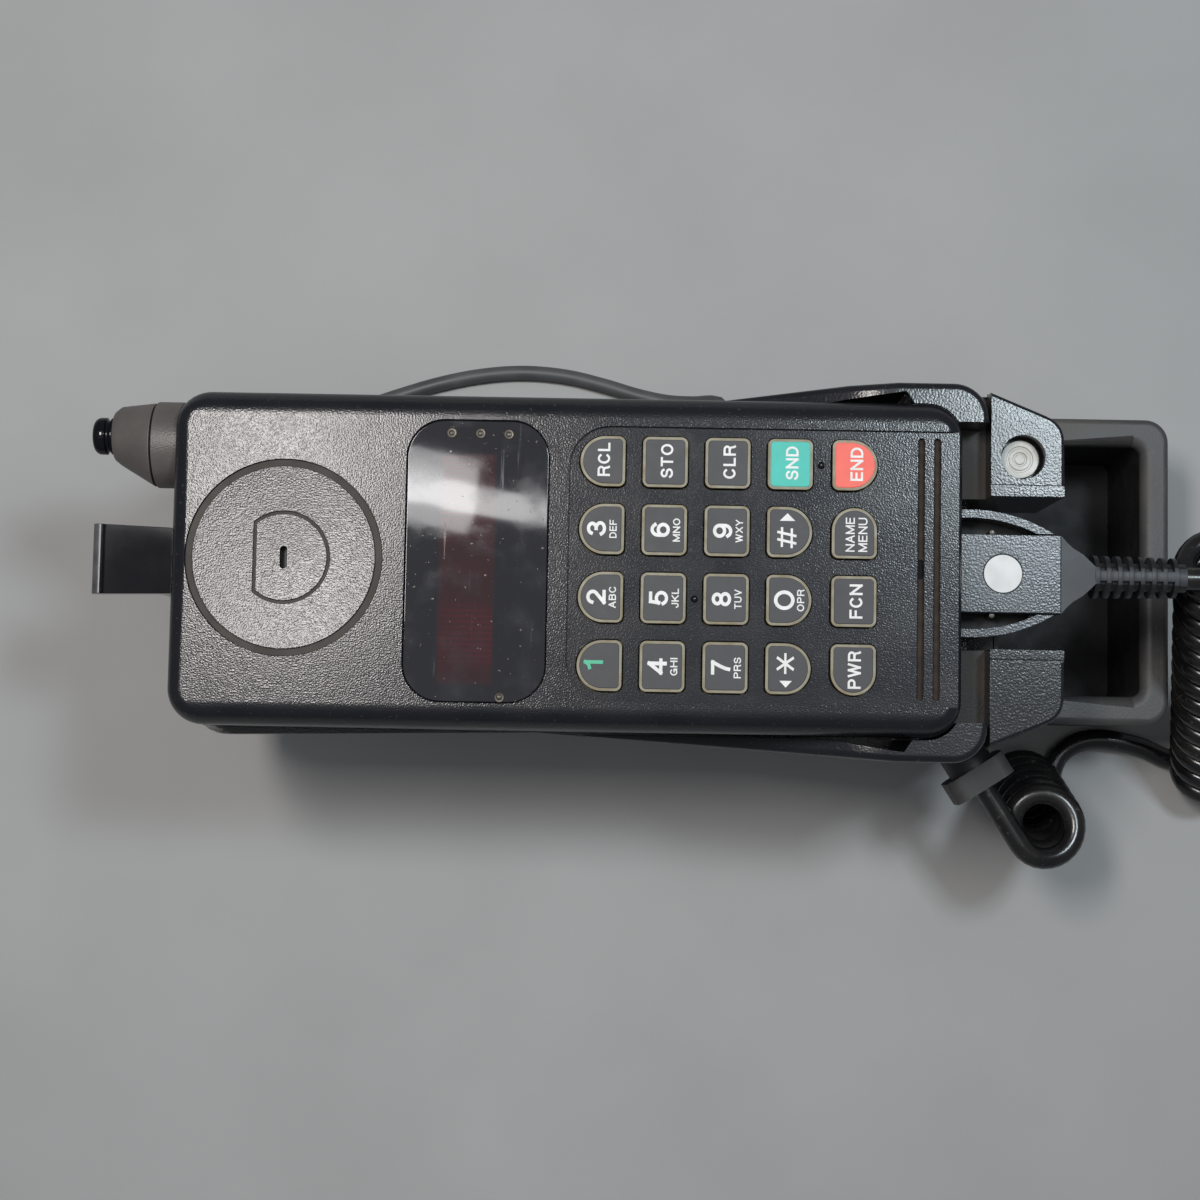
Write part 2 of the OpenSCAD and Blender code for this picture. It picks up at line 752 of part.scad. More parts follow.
module keypad_mat() color([0.5, 0.45, 0.35]) place() {
    x0 = key_x(keys[0]) - mat_margin;
    x1 = last_col_x + mat_margin;
    slab(board_top, board_top + mat_t) translate([x0, -board_w / 2 + mat_side])
        square([x1 - x0, board_w - 2 * mat_side]);
    for (k = keys) translate([key_x(k), key_y(k), board_top])
        cylinder(d = mat_pad_d, h = mat_pad_top - board_top);
}

module microphone() color(black) place()
    translate([slot_x[0], 0, under_face_z - mic_t]) cylinder(d = mic_d, h = mic_t);

module accessory_socket() color(black) place() difference() {
    union() {
        translate([foot_x - socket_len, -socket_w / 2, plug_mid_z - mouth_h / 2 + loose])
            cube([socket_len, socket_w, mouth_h - 2 * loose]);
        translate([foot_x - socket_len, -mouth_w / 2 + loose, plug_mid_z - mouth_h / 2 + loose])
            cube([socket_len, mouth_w - 2 * loose, 1]);
    }
    translate([foot_x - nose_len - 1, -nose_w / 2 - loose, plug_mid_z - nose_h / 2 - loose])
        cube([nose_len + 2, nose_w + 2 * loose, nose_h + 2 * loose + contact_t]);
}

module housing_screws() color(steel) place()
    for (s = screw_spots) translate([s[0], s[1], rear_z + screw_head_t])
        screw_up(screw_head_d, screw_head_t - loose, screw_d, screw_grip);

// One key: a skirt with a flange under the face and a dark cap inside its pale border
module key(k) color(k[0] == "key_snd" ? [0.2, 0.75, 0.7] : k[0] == "key_end" ? [0.95, 0.4, 0.33] : gray)
place() translate([key_x(k), key_y(k), 0]) {
    flange_top = under_face_z - loose;
    slab(flange_top - key_flange_t, flange_top) key_outline(k[3], key_flange);
    slab(flange_top - eps, key_top_z - key_cap_h) key_outline(k[3]);
    slab(key_top_z - key_cap_h - eps, key_top_z) key_outline(k[3], -key_border);
}

// Antenna

module antenna_sleeve() color([0.36, 0.34, 0.33]) place() difference() {
    union() {
        translate([0, boss_y, antenna_z]) {
            rod_x(head_x - boss_len, head_x, boss_r);
            rod_x(head_x - boss_len - 1, head_x, boss_r - boss_edge - 2 * boss_groove);
        }
        hull() {
            translate([head_x - boss_len, boss_y, antenna_z])
                rod_x(-boss_edge, -boss_groove, boss_r - boss_edge / 2, $fn = 32);
            translate([0, antenna_y, antenna_z]) {
                rod_x(whip_out + nozzle_taper, whip_out + nozzle_taper + loose, nozzle_r, $fn = 32);
                rod_x(whip_out, whip_out + loose, nozzle_end_r, $fn = 32);
            }
        }
        translate([0, antenna_y, antenna_z]) rod_x(head_x - 1, head_x + spigot_len, spigot_r);
    }
    translate([0, antenna_y, antenna_z]) rod_x(whip_out - 1, head_x + spigot_len + 1, whip_d / 2 + running);
}

module antenna_whip() color(steel) place() translate([0, antenna_y, antenna_z]) {
    rod_x(whip_out - clear, whip_in + stop_len, whip_d / 2);
    rod_x(whip_in, whip_in + stop_len, stop_r);
}

module antenna_tip() color(black) place()
    translate([whip_out - clear, antenna_y, antenna_z]) rotate([0, -90, 0]) rotate_extrude() difference() {
        square([tip_r, tip_len]);
        translate([tip_r - tip_round, tip_len - tip_round]) difference() {
            square(tip_round + 1);
            circle(tip_round);
        }
        translate([tip_r, 2 * tip_groove_r]) circle(tip_groove_r);
    }

// Plug

module plug_base() color(slate) place() {
    half = plug_t / 2;
    translate([plug_x0, -plug_w / 2, plug_z]) cube([plug_len, plug_w, half]);
    // nose in the socket
    translate([plug_x0 - nose_len - nose_gap, -nose_w / 2, plug_mid_z - nose_h / 2])
        cube([nose_len + nose_gap + eps, nose_w, nose_h / 2]);
    // web under the squeeze arms
    slab(plug_z, plug_z + web_t) intersection() {
        translate([plug_x0 + arm_flat, arms_w / 2 - 1 - arm_r]) circle(arm_r);
        translate([plug_x0 + arm_flat, -arms_w / 2 + 1 + arm_r]) circle(arm_r);
        translate([plug_x0, -arms_w / 2]) square([plug_len - 5, arms_w]);
    }
    // small posts in the pockets
    for (y = [-1, 1])
        translate([plug_x0 + pocket_post[0], y * (plug_w / 2 + pocket_post[1]), plug_z])
            cylinder(d = pocket_post_d, h = plug_t - pocket_post_d);
}

module plug_cover() color(slate) place() difference() {
    union() {
        translate([plug_x0, -plug_w / 2, plug_mid_z]) cube([plug_len, plug_w, plug_t / 2]);
        translate([plug_x0 - nose_len - nose_gap, -nose_w / 2, plug_mid_z])
            cube([nose_len + nose_gap + eps, nose_w, nose_h / 2]);
    }
    translate([dot_x, 0, plug_top - dot_t]) cylinder(d = dot_d + loose, h = dot_t + 1);
}

module plug_dot() color([0.95, 0.95, 0.95]) place()
    translate([dot_x, 0, plug_top - dot_t]) cylinder(d = dot_d, h = dot_t);

module plug_contacts() color([0.85, 0.7, 0.35]) place()
    translate([plug_x0 - nose_len, -contact_w / 2, plug_mid_z + nose_h / 2])
        for (i = [0:contact_count - 1]) translate([0, (i - (contact_count - 1) / 2) * contact_pitch, 0])
            cube([nose_len - 1, contact_w, contact_t]);

module plug_boot() color(gray) place() translate([plug_x1, 0, plug_mid_z]) {
    pitch = (boot_neck + boot_len - boot_start - boot_cap) / boot_ribs;
    spine_l = boot_neck + boot_len - boot_cap;
    // wedge that narrows from the plug to the spine
    slab(-plug_t / 2, plug_t / 2) polygon(concat(
        boot_flank, [for (i = [len(boot_flank) - 1:-1:0]) [boot_flank[i][0], -boot_flank[i][1]]]));
    rod_x(boot_start - 1, boot_neck + boot_len, boot_core_d / 2);
    for (i = [0:boot_ribs - 1])
        rod_x(boot_start + (i + 1 - rib_share) * pitch, boot_start + (i + 1) * pitch,
            rib_r[0] + (rib_r[1] - rib_r[0]) * i / (boot_ribs - 1));
    intersection() {
        rod_x(boot_start - 1, spine_l, rib_r[1]);
        translate([boot_start - 1, -spine_w / 2, -plug_t]) cube([spine_l, spine_w, 2 * plug_t]);
    }
}

// Squeeze arm on the +Y side: a bowed strip with a latch tongue
module squeeze_arm() {
    inner_y = plug_w / 2 + clear;
    slab(plug_z + web_t + clear, plug_top) {
        intersection() {
            translate([plug_x0 + arm_flat, arms_w / 2 - arm_r]) difference() {
                circle(arm_r, $fn = 96);
                circle(arm_r - arm_t, $fn = 96);
            }
            translate([plug_x0 + clear, inner_y]) square([plug_len - clear, arms_w]);
        }
        // solid root, sloped to clear the plug when squeezed
        intersection() {
            translate([plug_x0 + arm_flat, arms_w / 2 - arm_r]) circle(arm_r - arm_t / 2, $fn = 96);
            polygon([
                [plug_x1 - solid_len, inner_y + (arm_pivot[0] - plug_x1 + solid_len) * swing_slope],
                [arm_pivot[0], inner_y], [plug_x1, inner_y],
                [plug_x1, arms_w / 2], [plug_x1 - solid_len, arms_w / 2]]);
        }
    }
    translate([plug_x0 + clear - tongue_len, arms_w / 2 - arm_t - 0.1, plug_mid_z - tongue_h / 2])
        cube([tongue_len + 1, arm_t, tongue_h]);
}

module plug_arm_upper() color(slate) place() squeeze_arm();

module plug_arm_lower() color(slate) place() mirror([0, 1, 0]) squeeze_arm();

// Cradle

// Plan of the cradle from head to foot, without its ears
module cradle_plan() {
    head_corner = 8;
    translate([head_x - 0.5 + head_corner, 0]) {
        for (y = [-1, 1]) translate([0, y * (head_w / 2 - head_corner)]) circle(head_corner);
        square([2 * head_corner, head_w - 2 * head_corner], center = true);
    }
    polygon([
        [head_flare_x - 1.5, head_w / 2], [waist_x, waist_w / 2], [cup_flare_x, cup_w / 2],
        [cup_x1 - cup_corner, cup_w / 2], [cup_x1 - cup_corner, -cup_w / 2],
        [cup_flare_x, -cup_w / 2], [waist_x, -waist_w / 2], [head_flare_x - 1.5, -head_w / 2]]);
    for (y = [-1, 1]) translate([cup_x1 - cup_corner, y * (cup_w / 2 - cup_corner)]) circle(cup_corner);
    translate([cup_x1 - cup_corner, -cup_w / 2 + cup_corner]) square([cup_corner, cup_w - 2 * cup_corner]);
}

// Plan of an ear, drawn on the +Y side between the inner edge y0 and the outer edge y1
module ear_plan(y0, y1) {
    slope_x = ear_x1 - ear_corner;
    polygon([
        [cup_x1 - 1, y0], [ear_x1, y0], [ear_x1, y1 - 2 * ear_corner + 0.6],
        [slope_x + 1.6, y1 - 4.6], [ear_x0, y1], [cup_x1 - 1, y1]]);
    translate([slope_x, y1 - 2 * ear_corner + 0.6]) circle(ear_corner);
}

module cradle_cup() color(charcoal) place() difference() {
    pocket_w = hand_w + 2 * cup_gap;
    union() {
        slab(cup_z, floor_z) cradle_plan();
        // low rim round the waist and the head
        intersection() {
            slab(floor_z - eps, floor_z + head_rim_h) difference() {
                cradle_plan();
                translate([head_x - 0.5 + rim_wall, -waist_w / 2 + rim_wall])
                    square([hand_len, waist_w - 2 * rim_wall]);
            }
            translate([0, cup_w, 0]) rotate([90, 0, 0]) linear_extrude(2 * cup_w) polygon([
                [head_x - 2, cup_z], [head_x - 2, floor_z + head_rim_h],
                [head_x + 20, floor_z + head_rim_h], [battery_x0 - 4, floor_z + pad_t - clear],
                [cup_x1, floor_z + pad_t - clear], [cup_x1, cup_z]]);
        }
        // foot cup: side walls that rise towards the foot and wrap the corners
        intersection() {
            slab(floor_z - eps, cup_rim_z) difference() {
                cradle_plan();
                translate([foot_x - hand_len / 2 + cup_gap, 0])
                    rounded(hand_len, pocket_w, hand_corner);
                translate([0, -corner_y]) square([hand_len, 2 * corner_y]);
                for (m = [0, 1]) mirror([0, m, 0]) polygon([
                    [slit_x[0], pocket_w / 2], [slit_x[1], pocket_w / 2 + slit_depth],
                    [slit_x[2], pocket_w / 2], [slit_x[2], pocket_w / 2 - 1], [slit_x[0], pocket_w / 2 - 1]]);
            }
            translate([0, cup_w, 0]) rotate([90, 0, 0]) linear_extrude(2 * cup_w) polygon([
                [cup_wall_x0, floor_z - 1], [cup_wall_x0, floor_z + pad_t], [cup_rise_x, cup_rim_z - 1],
                [cup_flare_x, cup_rim_z], [cup_x1 + 1, cup_rim_z], [cup_x1 + 1, floor_z - 1]]);
        }
        // ears, the one on the antenna side a little farther out
        for (m = [0, 1]) mirror([0, m, 0]) {
            y0 = ear_inner[m];
            y1 = ear_rims[m];
            slab(cup_z, ear_z) intersection() {
                ear_plan(y0, y1);
                translate([ear_x0, 0]) square([ear_len + 1, cup_w]);
            }
            slab(cup_z, floor_z) ear_plan(y0, y1);
            // shelf between the foot of the handset and the ear
            slab(cup_z, shelf_z) translate([foot_x + cup_gap, y0])
                square([ear_x0 - foot_x - cup_gap + 1, y1 - y0]);
        }
        // lugs for the clip pin
        for (y = [-1, 1]) translate([0, y * (clip_w / 2 + clear + lug_t / 2) + lug_t / 2, 0]) {
            translate([pivot_x, 0, pivot_z]) rotate([90, 0, 0]) cylinder(r = knuckle_r, h = lug_t);
            translate([pivot_x, -lug_t, cup_z]) cube([head_x + 2 - pivot_x, lug_t, floor_t]);
        }
    }
    // pin bore
    translate([pivot_x, pin_len, pivot_z]) rotate([90, 0, 0])
        cylinder(d = pin_d + 2 * running, h = 2 * pin_len);
    // parting line along the inner edge of each ear
    for (m = [0, 1]) mirror([0, m, 0]) translate([ear_x0 - 1, ear_inner[m] + ear_strip, ear_z - ear_line])
        cube([ear_len + 2, ear_line, 1]);
    // button bore with its wider mouth, and the seat of its spring
    translate([button_x, button_y, floor_z - 2]) cylinder(d = button_d + 2 * running, h = ear_z);
    translate([button_x, button_y, button_top - button_travel]) cylinder(d = button_hole_d, h = ear_z);
    // screw holes
    for (s = cradle_screw_spots) translate([s[0], s[1], cup_z - 1]) {
        cylinder(d = cradle_screw_d + 2 * running, h = floor_t + 2);
        translate([0, 0, 1 + floor_t - cradle_head_t])
            cylinder(d = cradle_head_d + 2 * loose, h = cradle_head_t + 1);
    }
}

module cradle_base() color(black) place() difference() {
    union() {
        difference() {
            slab(deck_z, cup_z) translate([(base_x0 + base_x1) / 2, 0])
                rounded(base_x1 - base_x0, base_w, base_corner);
            slab(deck_z - 1, cup_z - base_wall) translate([(base_x0 + base_x1) / 2, 0])
                rounded(base_x1 - base_x0 - 2 * base_wall, base_w - 2 * base_wall, base_corner - base_wall);
        }
        for (s = cradle_screw_spots) translate([s[0], s[1], deck_z]) cylinder(d = base_post_d, h = base_h);
    }
    for (s = cradle_screw_spots) translate([s[0], s[1], deck_z - 1])
        cylinder(d = cradle_screw_d + 2 * running, h = base_h + 2);
    // hole behind the cord socket
    translate(socket_start) rotate([90, 0, socket_turn]) translate([0, 0, -base_wall * 2])
        cylinder(d = cord_d + 1, h = base_wall * 2);
}

module cradle_screws() color(steel) place()
    for (s = cradle_screw_spots) translate([s[0], s[1], floor_z - cradle_head_t]) mirror([0, 0, 1])
        screw_up(cradle_head_d, cradle_head_t, cradle_screw_d, base_h + floor_t - cradle_head_t + deck_t);

module rest_pads() color(black) place()
    for (s = pad_spots) translate([s[0], s[1], floor_z]) cylinder(d = pad_d, h = pad_t);

// Lever clip at the head: two knuckles, an arm with a nose, and a tab with a rolled lip
module head_clip() color(black) place() difference() {
    union() {
        // arm and tab, one bent strip
        translate([0, clip_w / 2, 0]) rotate([90, 0, 0]) linear_extrude(clip_w) polygon([
            [clip_arm_x - clip_t, pivot_z], [clip_arm_x, pivot_z], [clip_arm_x, nose_z - nose_slope[0]],
            [head_x - clear, nose_z], [clip_arm_x, nose_z + nose_slope[1]], [clip_arm_x, clip_top],
            [clip_end + lip_r, clip_top + clip_rise], [clip_end + lip_r, clip_top + clip_rise - clip_t],
            [clip_arm_x - clip_t, clip_top - clip_t]]);
        translate([clip_end + lip_r, clip_w / 2, clip_top + clip_rise - clip_t / 2]) rotate([90, 0, 0])
            cylinder(r = lip_r, h = clip_w);
        translate([pivot_x, clip_w / 2, pivot_z]) rotate([90, 0, 0]) cylinder(r = knuckle_r, h = clip_w);
    }
    translate([pivot_x, clip_w, pivot_z]) rotate([90, 0, 0])
        cylinder(d = pin_d + 2 * running, h = 2 * clip_w);
    // room for the spring between the knuckles
    translate([pivot_x - 2 * knuckle_r, -knuckle_gap / 2, pivot_z - knuckle_r - 1])
        cube([4 * knuckle_r, knuckle_gap, 2 * knuckle_r + 1.5]);
    // the tab narrows towards the arm
    for (m = [0, 1]) mirror([0, m, 0]) slab(pivot_z - 2 * knuckle_r, clip_top + 2 * clip_t) polygon([
        [clip_end, clip_w / 2], [head_x + 1, clip_root_w / 2], [head_x + 1, clip_w], [clip_end, clip_w]]);
}

module clip_pin() color(steel) place() translate([pivot_x, pin_len / 2, pivot_z]) rotate([90, 0, 0])
    cylinder(d = pin_d, h = pin_len);

module clip_spring() color(steel) place()
    translate([pivot_x, clip_coil_len / 2, pivot_z]) rotate([90, 0, 0])
        spring(clip_coil_d, clip_wire, clip_coil_len, clip_turns);

module ear_button() color([0.87, 0.85, 0.8]) place() translate([button_x, button_y, button_bottom]) {
    difference() {
        cylinder(d = button_d, h = button_len);
        // rings turned in the top
        for (r = button_rings) translate([0, 0, button_len - button_ring_w]) difference() {
            cylinder(r = r + button_ring_w / 2, h = 1);
            translate([0, 0, -1]) cylinder(r = r - button_ring_w / 2, h = 3);
        }
    }
}

module button_spring() color(steel) place() translate([button_x, button_y, floor_z - 2])
    spring(button_coil_d, button_wire, button_bottom - floor_z + 2, button_turns);

// Console box

module console_box() color([0.2, 0.2, 0.21]) place() difference() {
    union() {
        difference() {
            translate([box_x, box_shift, 0]) pillow(box_len, box_w, box_h, box_corner, box_rim);
            slab(box_floor, box_h + 1) translate([(well_x0 + well_x1) / 2, box_shift])
                rounded(well_len, room_w, inner_corner);
            slab(box_floor, box_h + 1) translate([(room_x0 + room_x1) / 2, box_shift])
                rounded(room_x1 - room_x0, room_w, inner_corner);
            slab(box_h - deck_t, box_h + 1) translate([(room_x0 + room_x1) / 2, box_shift])
                rounded(room_x1 - room_x0 + 2 * (bulkhead - 1), room_w + 2 * ledge, deck_corner);
        }
        for (s = box_screw_spots) translate([s[0], s[1], 0]) cylinder(d = box_post_d, h = box_h - deck_t);
        for (x = [-1, 1], y = [-1, 1]) translate([
            x * (unit_board_l / 2 - unit_post_in), box_shift + y * (unit_board_w / 2 - unit_post_in), 0])
                cylinder(d = unit_post_d, h = box_floor + unit_post_h);
    }
    for (s = box_screw_spots) translate([s[0], s[1], box_floor + 2])
        cylinder(d = box_screw_d + 2 * running, h = box_h);
    for (s = mount_spots) translate([s[0], s[1], -1]) cylinder(d = mount_hole_d, h = box_floor + 2);
    // hole behind the lead gland
    translate(lead_wall) rotate([90, 0, 180 + lead_turn]) translate([0, 0, -2 * box_wall])
        cylinder(d = lead_d + 1, h = 3 * box_wall);
}

module deck_plate() color([0.2, 0.2, 0.21]) place() difference() {
    plate_l = room_x1 - room_x0 + 2 * (bulkhead - 1) - 2 * loose;
    plate_w = room_w + 2 * ledge - 2 * loose;
    slab(box_h - deck_t, box_h) translate([(room_x0 + room_x1) / 2, box_shift])
        rounded(plate_l, plate_w, deck_corner - loose);
    for (s = box_screw_spots) translate([s[0], s[1], box_h - deck_t - 1]) {
        cylinder(d = box_screw_d + 2 * running, h = deck_t + 2);
        translate([0, 0, 1 + deck_t - box_head_t]) cylinder(d = box_head_d + 2 * loose, h = box_head_t + 1);
    }
    for (s = cradle_screw_spots) translate([s[0], s[1], box_h - deck_t - 1])
        cylinder(d = cradle_screw_d + 2 * running, h = deck_t + 2);
}

module box_screws() color(steel) place()
    for (s = box_screw_spots) translate([s[0], s[1], box_h - box_head_t]) mirror([0, 0, 1])
        screw_up(box_head_d, box_head_t, box_screw_d, box_screw_len);

module interface_board() color([0.1, 0.3, 0.2]) place() translate([0, box_shift, 0]) {
    z0 = box_floor + unit_post_h;
    slab(z0, z0 + unit_board_t) square([unit_board_l, unit_board_w], center = true);
    slab(z0 + unit_board_t, z0 + unit_board_t + unit_can[2]) translate(unit_can_at)
        square([unit_can[0], unit_can[1]], center = true);
    slab(z0 + unit_board_t, z0 + unit_board_t + unit_socket[2]) translate(unit_socket_at)
        square([unit_socket[0], unit_socket[1]], center = true);
}

// Cords and their fittings

// Round boss that leaves a wall at a slant: turn is its angle from the wall's normal
module slanted_boss(r, reach, turn) {
    intersection() {
        translate([0, 0, -2 * r]) cylinder(r = r, h = reach + 2 * r);
        rotate([0, -turn, 0]) translate([-3 * r, -3 * r, 0]) cube([6 * r, 6 * r, 2 * reach]);
    }
}

module cord_socket() color(black) place() translate(socket_start) rotate([90, 0, socket_turn]) difference() {
    slanted_boss(socket_r, socket_reach, socket_turn);
    translate([0, 0, -2 * socket_r]) cylinder(d = cord_d + 1, h = socket_reach + socket_r);
}

module cord_collar() color(gray) place() translate(socket_start) rotate([90, 0, socket_turn])
    translate([0, 0, socket_reach]) linear_extrude(collar_t) rounded(collar_w, collar_h, collar_corner);

module curly_cord() color(black) place() tube(cord_path, cord_d, 6, [0, 0, 1]);

module lead_cable() color(gray) place() tube(lead_path, lead_d, 8, [0, 0, 1]);

module lead_glands() color(black) place() {
    translate([0, lead_start[1], lead_start[2]]) rod_x(base_x0 - gland_len, base_x0, gland_d / 2);
    translate(lead_wall) rotate([90, 0, 180 + lead_turn]) slanted_boss(gland_d / 2, gland_len, lead_turn);
}

echo(str("least gap of the curly cord to itself: ", cord_gap, " mm"));

front_housing();
rear_housing();
battery_pack();
display_lens();
display_module();
earpiece_cap();
earpiece_speaker();
logic_board();
keypad_mat();
microphone();
accessory_socket();
housing_screws();
antenna_sleeve();
antenna_whip();
antenna_tip();
plug_base();
plug_cover();
plug_dot();
plug_contacts();
plug_boot();
plug_arm_upper();
plug_arm_lower();
cradle_cup();
cradle_base();
cradle_screws();
rest_pads();
head_clip();
clip_pin();
clip_spring();
ear_button();
button_spring();
console_box();
deck_plate();
box_screws();
interface_board();
cord_socket();
cord_collar();
curly_cord();
lead_cable();
lead_glands();
for (k = keys) key(k);
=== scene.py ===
# Car phone: keypad handset in a hang-up cradle on a console box, dressed for a studio picture.
import json
import math

import bpy
from mathutils import Matrix, Vector


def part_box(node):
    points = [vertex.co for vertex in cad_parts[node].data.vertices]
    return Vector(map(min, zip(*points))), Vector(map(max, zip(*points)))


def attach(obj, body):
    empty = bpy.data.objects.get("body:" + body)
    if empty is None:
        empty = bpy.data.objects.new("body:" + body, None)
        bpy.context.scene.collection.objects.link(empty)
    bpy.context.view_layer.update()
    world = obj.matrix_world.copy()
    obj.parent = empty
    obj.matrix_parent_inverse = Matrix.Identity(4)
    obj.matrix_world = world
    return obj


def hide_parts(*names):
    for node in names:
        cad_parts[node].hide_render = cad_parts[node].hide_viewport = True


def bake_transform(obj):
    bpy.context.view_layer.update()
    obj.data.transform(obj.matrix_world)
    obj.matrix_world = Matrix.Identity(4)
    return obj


mm = 0.001
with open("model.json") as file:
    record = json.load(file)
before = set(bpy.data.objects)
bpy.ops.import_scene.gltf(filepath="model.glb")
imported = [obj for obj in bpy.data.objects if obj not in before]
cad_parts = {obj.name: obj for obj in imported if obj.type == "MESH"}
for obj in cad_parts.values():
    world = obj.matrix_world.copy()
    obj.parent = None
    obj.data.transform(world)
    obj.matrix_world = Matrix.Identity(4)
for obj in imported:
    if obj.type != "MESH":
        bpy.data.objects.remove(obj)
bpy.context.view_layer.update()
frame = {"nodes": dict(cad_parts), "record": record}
nodes = frame["nodes"]
bodyOf = {node: body for body, members in frame["record"]["behaviour"]["bodies"].items() for node in members}

headEnd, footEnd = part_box("front_housing")
midX = (headEnd.x + footEnd.x) / 2  # the handset's middle, from which places along X are counted
faceZ = footEnd.z


def spot(x, y, z):
    # millimetres from the handset's middle and the table, to the frame's metres
    return Vector((midX + x * mm, y * mm, z * mm))


# camera, at the photograph's angle

cameraLook = {"place": (10.1, -35.3, 476.1), "turn": (4.10, 0.49, 1.04), "lens": 61.2, "sensor": 36.0,
              "near": 0.01, "far": 20}


def placeCamera():
    bpy.ops.object.camera_add()
    camera = bpy.context.object
    camera.name = "photoCamera"
    camera.location = spot(*cameraLook["place"])
    camera.rotation_mode = "ZYX"
    camera.rotation_euler = [math.radians(a) for a in cameraLook["turn"]]
    camera.data.lens = cameraLook["lens"]
    camera.data.sensor_width = cameraLook["sensor"]
    camera.data.clip_start = cameraLook["near"]
    camera.data.clip_end = cameraLook["far"]
    bpy.context.scene.camera = camera
    print("camera placed")


placeCamera()


# node helpers for the materials

def startMaterial(name):
    material = bpy.data.materials.new(name)
    material.use_nodes = True
    tree = material.node_tree
    tree.nodes.clear()
    output = tree.nodes.new("ShaderNodeOutputMaterial")
    shader = tree.nodes.new("ShaderNodeBsdfPrincipled")
    tree.links.new(shader.outputs["BSDF"], output.inputs["Surface"])
    coords = tree.nodes.new("ShaderNodeTexCoord").outputs["Object"]
    return material, tree, shader, coords


def noiseAt(tree, coords, size, detail=2.0, stretch=None):
    if stretch:
        mapping = tree.nodes.new("ShaderNodeMapping")
        mapping.inputs["Scale"].default_value = stretch
        tree.links.new(coords, mapping.inputs["Vector"])
        coords = mapping.outputs["Vector"]
    node = tree.nodes.new("ShaderNodeTexNoise")
    node.inputs["Scale"].default_value = 1 / size
    node.inputs["Detail"].default_value = detail
    tree.links.new(coords, node.inputs["Vector"])
    return node.outputs["Fac"]


def remap(tree, value, low, high, toLow, toHigh):
    node = tree.nodes.new("ShaderNodeMapRange")
    for socket, number in zip(("From Min", "From Max", "To Min", "To Max"), (low, high, toLow, toHigh)):
        node.inputs[socket].default_value = number
    tree.links.new(value, node.inputs["Value"])
    return node.outputs["Result"]


def combine(tree, operation, a, b):
    node = tree.nodes.new("ShaderNodeMath")
    node.operation = operation
    for socket, value in zip(node.inputs, (a, b)):
        if isinstance(value, (int, float)):
            socket.default_value = value
        else:
            tree.links.new(value, socket)
    return node.outputs["Value"]


def mixColour(tree, share, a, b):
    node = tree.nodes.new("ShaderNodeMix")
    node.data_type = "RGBA"
    tree.links.new(share, node.inputs[0])
    for socket, colour in ((node.inputs[6], a), (node.inputs[7], b)):  # the sockets that hold colours
        if isinstance(colour, tuple):
            socket.default_value = (*colour, 1)
        else:
            tree.links.new(colour, socket)
    return node.outputs[2]


def bumpFrom(tree, height, strength, depth, under=None):
    node = tree.nodes.new("ShaderNodeBump")
    node.inputs["Strength"].default_value = strength
    node.inputs["Distance"].default_value = depth
    tree.links.new(height, node.inputs["Height"])
    if under:
        tree.links.new(under, node.inputs["Normal"])
    return node.outputs["Normal"]


def axesOf(tree, coords):
    # the two level axes; no finish needs the third
    node = tree.nodes.new("ShaderNodeSeparateXYZ")
    tree.links.new(coords, node.inputs["Vector"])
    return node.outputs["X"], node.outputs["Y"]


# a moulded or rubbed finish: patchy colour, grain in the surface, specks of dust

finishLook = {"grainDetail": 0.6, "patchDetail": 4, "fade": (0.35, 0.68), "dull": (0.3, 0.7),
              "dustDetail": 2, "dust": (0.66, 0.74), "shine": 0.5}


def mouldedFinish(name, look):
    material, tree, shader, coords = startMaterial(name)
    grain = noiseAt(tree, coords, look["grain"], finishLook["grainDetail"])
    patch = noiseAt(tree, coords, look["patch"], finishLook["patchDetail"])
    colour = mixColour(tree, remap(tree, patch, *finishLook["fade"], 0, 1), look["colour"], look["faded"])
    roughness = remap(tree, patch, *finishLook["dull"], *look["gloss"])
    if "dust" in look:
        dust = look["dust"]
        specks = noiseAt(tree, coords, dust["size"], finishLook["dustDetail"])
        specks = remap(tree, specks, *finishLook["dust"], 0, dust["share"])
        colour = mixColour(tree, specks, colour, dust["colour"])
    tree.links.new(colour, shader.inputs["Base Color"])
    tree.links.new(roughness, shader.inputs["Roughness"])
    shader.inputs["Specular IOR Level"].default_value = look.get("shine", finishLook["shine"])
    shader.inputs["Metallic"].default_value = look.get("metal", 0.0)
    under = None
    if "dish" in look:
        # a shallow bowl about a point on the middle line
        centre, steep = look["dish"]
        x, y = axesOf(tree, coords)
        reach = combine(tree, "SUBTRACT", x, centre)
        bowl = combine(tree, "ADD", combine(tree, "MULTIPLY", reach, reach), combine(tree, "MULTIPLY", y, y))
        under = bumpFrom(tree, bowl, 1.0, steep)
    elif "crown" in look:
        # a soft roll towards the long edges
        start, steep = look["crown"]
        across = axesOf(tree, coords)[1]
        past = combine(tree, "SUBTRACT", combine(tree, "ABSOLUTE", across, 0.0), start)
        past = combine(tree, "MAXIMUM", past, 0.0)
        under = bumpFrom(tree, combine(tree, "MULTIPLY", past, past), 1.0, -steep)
    tree.links.new(bumpFrom(tree, grain, look["relief"], look["depth"], under), shader.inputs["Normal"])
    return material


